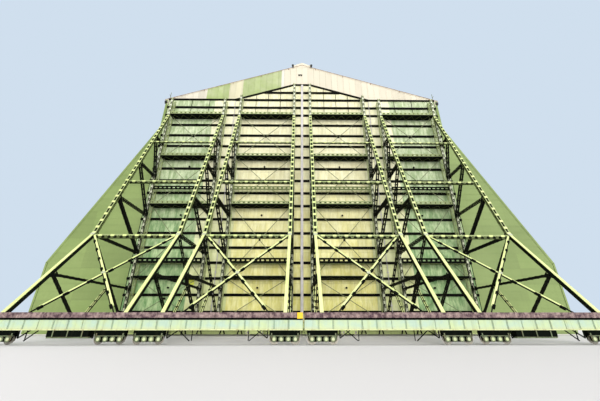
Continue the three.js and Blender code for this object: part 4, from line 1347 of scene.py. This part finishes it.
def add_under_girder(build):
    """The bogies under the front girder, the stays between them, the drive's housing and loose struts. The
    stays, the struts and the housing's upper part are near-black: painted shade under the girder.
    """
    y, low = FRONT_WHEEL_Y, GIRDER_LEVELS[0]
    level = (0, 1, 0)
    for x in FRONT_BOGIES:
        add_bogie(build, x, low)
    for a, b in pairwise(FRONT_BOGIES):
        if b - a > 5:
            for x, way in ((a + BOGIE_HALF + 0.2, 1), (b - BOGIE_HALF - 0.2, -1)):
                for reach in (0.9, 0.0):
                    build.bar((x, y, 0.5), (x + way * reach, y, low), 0.08, 0.08, level, SHADE_AND_JOINTS)
    start, end = DRIVE_HOUSING
    build.box(start, end, y - 0.3, y + 0.3, 0.62, low, SHADE_AND_JOINTS)
    build.box(start, end, y - 0.24, y + 0.24, 0.5, 0.62, BOGIE)
    for share in (0.15, 0.5, 0.85):
        build.post(start + share * (end - start), 0.04, y - 0.33, y - 0.3, 0.55, low, BOGIE)
    for x, way in ((3.6, 1), (10.6, -1), (22.4, 1)):
        build.bar((x, y - 0.2, low), (x + way, y - 0.2, 0.3), 0.07, 0.07, level, SHADE_AND_JOINTS)
        build.bar((x + way * 1.1, y, low), (x + way * 1.1, y, 0.3), 0.06, 0.06, level, SHADE_AND_JOINTS)


def add_sill_trim(body, sign):
    """Lips along the rear sill, caps on its wheels' axles and dark struts at its foot."""
    build = Build(sign)
    for z in (1.0, 1.64):
        build.box(LEAF_INNER, LEAF_OUTER, -1.6, -1.56, z - 0.03, z + 0.03, 0)
    for x in REAR_BOGIES:
        for j, k in CORNERS:
            near, far = ((x + k * WHEEL_BASE / 2, REAR_WHEEL_Y + j * out, AXLE_Z) for out in (0.23, 0.29))
            build.tube(near, far, 0.16, 12, 1)
    for x in SILL_STRUTS:
        for way in SIDES:
            build.bar((x + way * 0.35, 0.0, 0.17), (x + way * 0.1, 0.0, 0.95), 0.16, 0.12, mark=2)
    build.make(f"{body}_sill_trim", body, ["lattice green", "wheel steel", "web dark green and shade"], "sill")


def add_girder(body, sign, props):
    """The front girder with all that hangs under it, and the trim of the rear sill."""
    build = Build(sign)
    add_girder_body(build, props)
    add_under_girder(build)
    piece = build.make(f"{body}_plate_girder", body, GIRDER_FINISHES, "girder", bevel=0.01)
    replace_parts(piece, f"{body}_front_girder")
    add_sill_trim(body, sign)


def add_plates():
    """Two yellow plates: one with two dark bars at the left girder's end, one bare on the left sheets."""
    build = Build()
    build.box(-0.56, -0.07, GIRDER_FRONT, GIRDER_FRONT + 0.03, 2.04, 2.53, 0)
    for x in (-0.42, -0.2):
        build.post(x, 0.04, GIRDER_FRONT + 0.03, GIRDER_FRONT + 0.045, 2.1, 2.48, 1)
    build.box(-17.9, -16.95, -0.04, -0.013, 7.2, 7.95, 2)
    finishes = ("plate yellow", "frame dark", "patch yellow")
    build.make("door_left_plates", "door_left", finishes, "girder", bevel=0.01)


def wheels():
    return [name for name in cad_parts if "_wheel_" in name]


def ring_of(build, cx, cz, y0, y1, inner, outer, sides=20):
    """A flat ring round an axle, in short pieces."""
    for i in range(sides):
        a, b = (2 * math.pi * (i + k) / sides for k in (0, 1))
        corners = ((inner, a), (outer, a), (outer, b), (inner, b))
        build.plate([(cx + r * math.cos(turn), cz + r * math.sin(turn)) for r, turn in corners], y0, y1 - y0)


def add_wheel_hubs():
    """A ribbed hub on both faces of every running wheel."""
    for name in wheels():
        x, y, z = ((low + high) / 2 for low, high in zip(*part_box(name)))
        x, y, z = x / SCALE, (y - ORIGIN_Y) / SCALE, z / SCALE
        build = Build()
        for j in SIDES:
            face = y + j * 0.08
            for inner, outer in ((0.085, 0.13), (0.29, 0.34)):
                ring_of(build, x, z, face, face + j * 0.015, inner, outer)
            center = Vector((x, face + j * 0.006, z))
            for turn in (spoke * math.pi / 3 for spoke in range(6)):
                out = Vector((math.cos(turn), 0, math.sin(turn)))
                build.bar(center + out * 0.12, center + out * 0.3, 0.04, 0.012, (-out.z, 0, out.x))
        build.make(f"{name}_hub", name, ["wheel steel"], "wheel")


# The stage


def add_floor():
    """The plain pale floor."""
    size = 120.0
    mesh = bpy.data.meshes.new("floor")
    corners = [(x * size, y * size, 0) for x, y in ((-1, -1), (1, -1), (1, 1), (-1, 1))]
    mesh.from_pydata(corners, [], [(0, 1, 2, 3)])
    floor = bpy.data.objects.new("floor", mesh)
    floor.location.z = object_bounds()[0].z - 0.002
    material, _, shader = new_material("pale floor")
    shader.inputs["Base Color"].default_value = (0.68, 0.66, 0.65, 1)
    shader.inputs["Roughness"].default_value = 0.8
    mesh.materials.append(material)
    bpy.context.scene.collection.objects.link(floor)
    floor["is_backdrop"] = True


def add_lights(props):
    """Light from all round with a pale backdrop, and four wide soft lights."""
    world = bpy.data.worlds.new("studio")
    world.use_nodes = True
    tree = world.node_tree
    sky = tree.nodes["Background"]
    sky.inputs["Color"].default_value = (0.86, 0.91, 1.0, 1)
    sky.inputs["Strength"].default_value = props.sky_strength
    backdrop = node(tree, "Background", {"Color": (0.7, 0.82, 0.95, 1), "Strength": 0.9})
    seen = node(tree, "LightPath").outputs["Is Camera Ray"]
    blend = node(tree, "MixShader", {0: seen, 1: sky.outputs[0], 2: backdrop.outputs[0]})
    feed(tree, tree.nodes["World Output"].inputs["Surface"], blend.outputs[0])
    bpy.context.scene.world = world
    bpy.context.scene.view_settings.view_transform = "Standard"
    for name, tilt, turn, power, spread in (
        ("key", 80, 4, props.sun_strength, 40),
        ("side", 74, 62, props.side_strength, 80),
        ("back", 55, 205, props.back_strength, 60),
        ("top", 4, 0, props.top_strength, 40),
    ):
        light = bpy.data.lights.new(name, "SUN")
        light.energy = power
        light.angle = math.radians(spread)
        light.color = (1.0, 0.97, 0.92) if name == "key" else (1.0, 1.0, 1.0)
        lamp = bpy.data.objects.new(name, light)
        lamp.location = (0, 0, 30)
        lamp.rotation_euler = (math.radians(tilt), 0, math.radians(turn))
        bpy.context.scene.collection.objects.link(lamp)


def add_camera(props):
    """The camera in front of the doors, low down and looking up."""
    camera = bpy.data.cameras.new("camera")
    camera.lens = props.lens
    camera.sensor_width = 36.0
    camera.shift_x = -2.4 / 600.0
    camera.clip_start, camera.clip_end = 0.05, 500.0
    eye = bpy.data.objects.new("camera", camera)
    y = ORIGIN_Y - props.camera_distance * SCALE
    eye.location = (props.camera_side * SCALE, y, props.camera_height * SCALE)
    eye.rotation_euler = (math.radians(90) + props.camera_pitch, 0, props.camera_turn)
    bpy.context.scene.collection.objects.link(eye)
    bpy.context.scene.camera = eye


# The add-on's settings, operators and panel


def metres(name, description, default, **limits):
    """A length at full size."""
    description += ", full size"
    return FloatProperty(name=name, description=description, default=default, unit="LENGTH", **limits)


def colour(name, description, *color):
    """A paint, given in 0 to 255 as seen on screen."""
    options = dict(size=4, min=0.0, max=1.0, subtype="COLOR")
    return FloatVectorProperty(name=name, description=description, default=linear(color), **options)


def strength(name, description, default):
    return FloatProperty(name=name, description=description, default=default, min=0.0)


def degrees(name, description, default):
    return FloatProperty(name=name, description=description, default=math.radians(default), subtype="ANGLE")


class ShedSettings(bpy.types.PropertyGroup):
    """Sizes and paints of the shed"""

    sheet_width: metres("Fascia sheet width", "Width of a sheet of the front over the doors", 1.3, min=0.3)
    course_height: metres("Course height", "Height of a course of end wall sheets", 1.24, min=0.3)
    seam_pitch: metres("Seam pitch", "Distance between standing seams", 1.25, min=0.2)
    window_bars: IntProperty(name="Window bars", description="Panes in one window band", default=14, min=2)
    frame_count: IntProperty(name="Hall bays", description="Bays between the hall's frames", default=12, min=2)
    wall_paint: colour("End wall paint", "Paint of the end walls", 122, 142, 80)
    roof_paint: colour("Roof paint", "Paint of the roof and the sloping sides", 50, 86, 46)
    side_paint: colour("Side wall paint", "Paint of the upright side walls", 96, 148, 58)


class DoorSettings(bpy.types.PropertyGroup):
    """Sizes and paints of the door leaves"""

    rail_pitch: metres("Rail pitch", "Distance between the level rails of a leaf", 2.475, min=0.5)
    column_panel: metres("Column panel", "Height of one lacing panel of a column", 1.0, min=0.3)
    batten_pitch: metres("Batten pitch", "Distance between cross plates of a raking chord", 1.1, min=0.3)
    boom_pitch: metres("Boom pitch", "Length of one lacing panel of a level boom", 0.37, min=0.2)
    wind_pitch: metres("Wind girder pitch", "Lacing pitch of a wind girder", 0.85, min=0.2)
    plate_width: metres("Girder plate width", "Width of one web plate of the front girder", 1.25, min=0.3)
    walk_levels: FloatVectorProperty(
        name="Walk levels",
        description="Heights of the two inspection walks, full size",
        size=2,
        default=(10.9, 23.4),
    )
    green_paint: colour("Green sheets", "Paint of the outer sheets of a leaf, low down", 108, 150, 90)
    cream_paint: colour("Cream sheets", "Paint of the inner sheets of a leaf, low down", 226, 220, 126)
    steel_paint: colour("Steel paint", "Paint of the trusses' fronts", 202, 216, 138)
    girder_paint: colour("Girder paint", "Paint of the front girder", 191, 197, 156)


class StageSettings(bpy.types.PropertyGroup):
    """The camera and the lights"""

    lens: FloatProperty(
        name="Lens", description="Focal length in millimetres on a 36 mm sensor", default=17.147, min=5.0
    )
    camera_distance: metres("Camera distance", "Distance of the camera in front of the doors", 46.617)
    camera_side: metres("Camera side", "How far the camera stands to the right of the middle", -0.354)
    camera_height: metres("Camera height", "Height of the camera over the ground", 1.689)
    camera_pitch: degrees("Camera pitch", "How far the camera looks up", 23.2)
    camera_turn: degrees("Camera turn", "How far the camera turns to the left", -0.524)
    sun_strength: strength("Key strength", "Strength of the key light", 2.9)
    side_strength: strength("Side light", "Strength of the wide soft light from the right", 1.5)
    back_strength: strength("Back light", "Strength of the soft light from behind on the left", 1.4)
    top_strength: strength("Top light", "Strength of the soft light from above", 1.15)
    sky_strength: strength("Sky strength", "Strength of the light from all round", 0.52)


class SHED_OT_shell(bpy.types.Operator):
    """Coat the shed's walls, roof, floor and glazing, and add the pieces along their edges"""

    bl_idname = "shed.shell"
    bl_label = "Shell"

    def execute(self, context):
        props = context.scene.shed_settings
        for name, key in SHELL_COATS.items():
            coat(name, key)
        for name, key in SIDE_COATS.items():
            for side in LEAVES:
                coat(f"{name}_{side}", key)
        add_lamps_and_masts()
        add_seams(props)
        add_gutters()
        add_roof_lines()
        add_windows(props)
        add_upper_windows(props)
        add_side_doors()
        add_rear_gable(props)
        return {"FINISHED"}


class SHED_OT_front(bpy.types.Operator):
    """Add the sheeted front over the doors and the end walls beside them"""

    bl_idname = "shed.front"
    bl_label = "Front"

    def execute(self, context):
        props = context.scene.shed_settings
        add_fascia(props)
        add_end_walls(props)
        return {"FINISHED"}


class SHED_OT_hall(bpy.types.Operator):
    """Add the lattice frames and purlins inside the hall"""

    bl_idname = "shed.hall"
    bl_label = "Hall"

    def execute(self, context):
        add_hall_frames(context.scene.shed_settings)
        return {"FINISHED"}


class SHED_OT_leaves(bpy.types.Operator):
    """Add the sheets and level rails of both door leaves, and the strip over their joint"""

    bl_idname = "shed.leaves"
    bl_label = "Door cladding"

    def execute(self, context):
        for side, sign in LEAVES.items():
            add_leaf_skin(f"door_{side}", sign, context.scene.door_settings)
        add_cover_strip()
        return {"FINISHED"}


class SHED_OT_trusses(bpy.types.Operator):
    """Add the raking trusses, their booms and braces, and the wind girders"""

    bl_idname = "shed.trusses"
    bl_label = "Door trusses"

    def execute(self, context):
        for side, sign in LEAVES.items():
            add_trusses(f"door_{side}", sign, context.scene.door_settings)
            add_wind_frames(f"door_{side}", sign, context.scene.door_settings)
        return {"FINISHED"}


class SHED_OT_running_gear(bpy.types.Operator):
    """Add the front girders, bogies, plates and wheel hubs, and coat the wheels and the rear sills"""

    bl_idname = "shed.running_gear"
    bl_label = "Running gear"

    def execute(self, context):
        for side, sign in LEAVES.items():
            add_girder(f"door_{side}", sign, context.scene.door_settings)
            coat(f"door_{side}_rear_sill", "lattice green")
            if side == "left":
                add_plates()
        for name in wheels():
            coat(name, "wheel steel")
        add_wheel_hubs()
        return {"FINISHED"}


class SHED_OT_stage(bpy.types.Operator):
    """Add the floor, the lights and the camera"""

    bl_idname = "shed.stage"
    bl_label = "Stage"

    def execute(self, context):
        add_floor()
        add_lights(context.scene.stage_settings)
        add_camera(context.scene.stage_settings)
        return {"FINISHED"}


class SHED_PT_panel(bpy.types.Panel):
    """Lists the shed's builders and their sizes"""

    bl_label = "Airship Shed"
    bl_idname = "SHED_PT_panel"
    bl_space_type = "VIEW_3D"
    bl_region_type = "UI"
    bl_category = "Shed"

    def draw(self, context):
        for operator in OPERATORS:
            self.layout.operator(operator.bl_idname)
        for group in SETTINGS:
            props = getattr(context.scene, group)
            for key in props.bl_rna.properties.keys():
                if key not in ("rna_type", "name"):
                    self.layout.prop(props, key)


OPERATORS = (
    SHED_OT_shell,
    SHED_OT_front,
    SHED_OT_hall,
    SHED_OT_leaves,
    SHED_OT_trusses,
    SHED_OT_running_gear,
    SHED_OT_stage,
)
SETTINGS = {"shed_settings": ShedSettings, "door_settings": DoorSettings, "stage_settings": StageSettings}


def register():
    for made in (*SETTINGS.values(), *OPERATORS, SHED_PT_panel):
        bpy.utils.register_class(made)
    for name, group in SETTINGS.items():
        setattr(bpy.types.Scene, name, PointerProperty(type=group))


def unregister():
    for name in SETTINGS:
        delattr(bpy.types.Scene, name)
    for made in (SHED_PT_panel, *reversed(OPERATORS), *reversed(tuple(SETTINGS.values()))):
        bpy.utils.unregister_class(made)


def main():
    register()
    for operator in OPERATORS:
        group, name = operator.bl_idname.split(".")
        getattr(getattr(bpy.ops, group), name)()


if __name__ == "__main__":
    main()
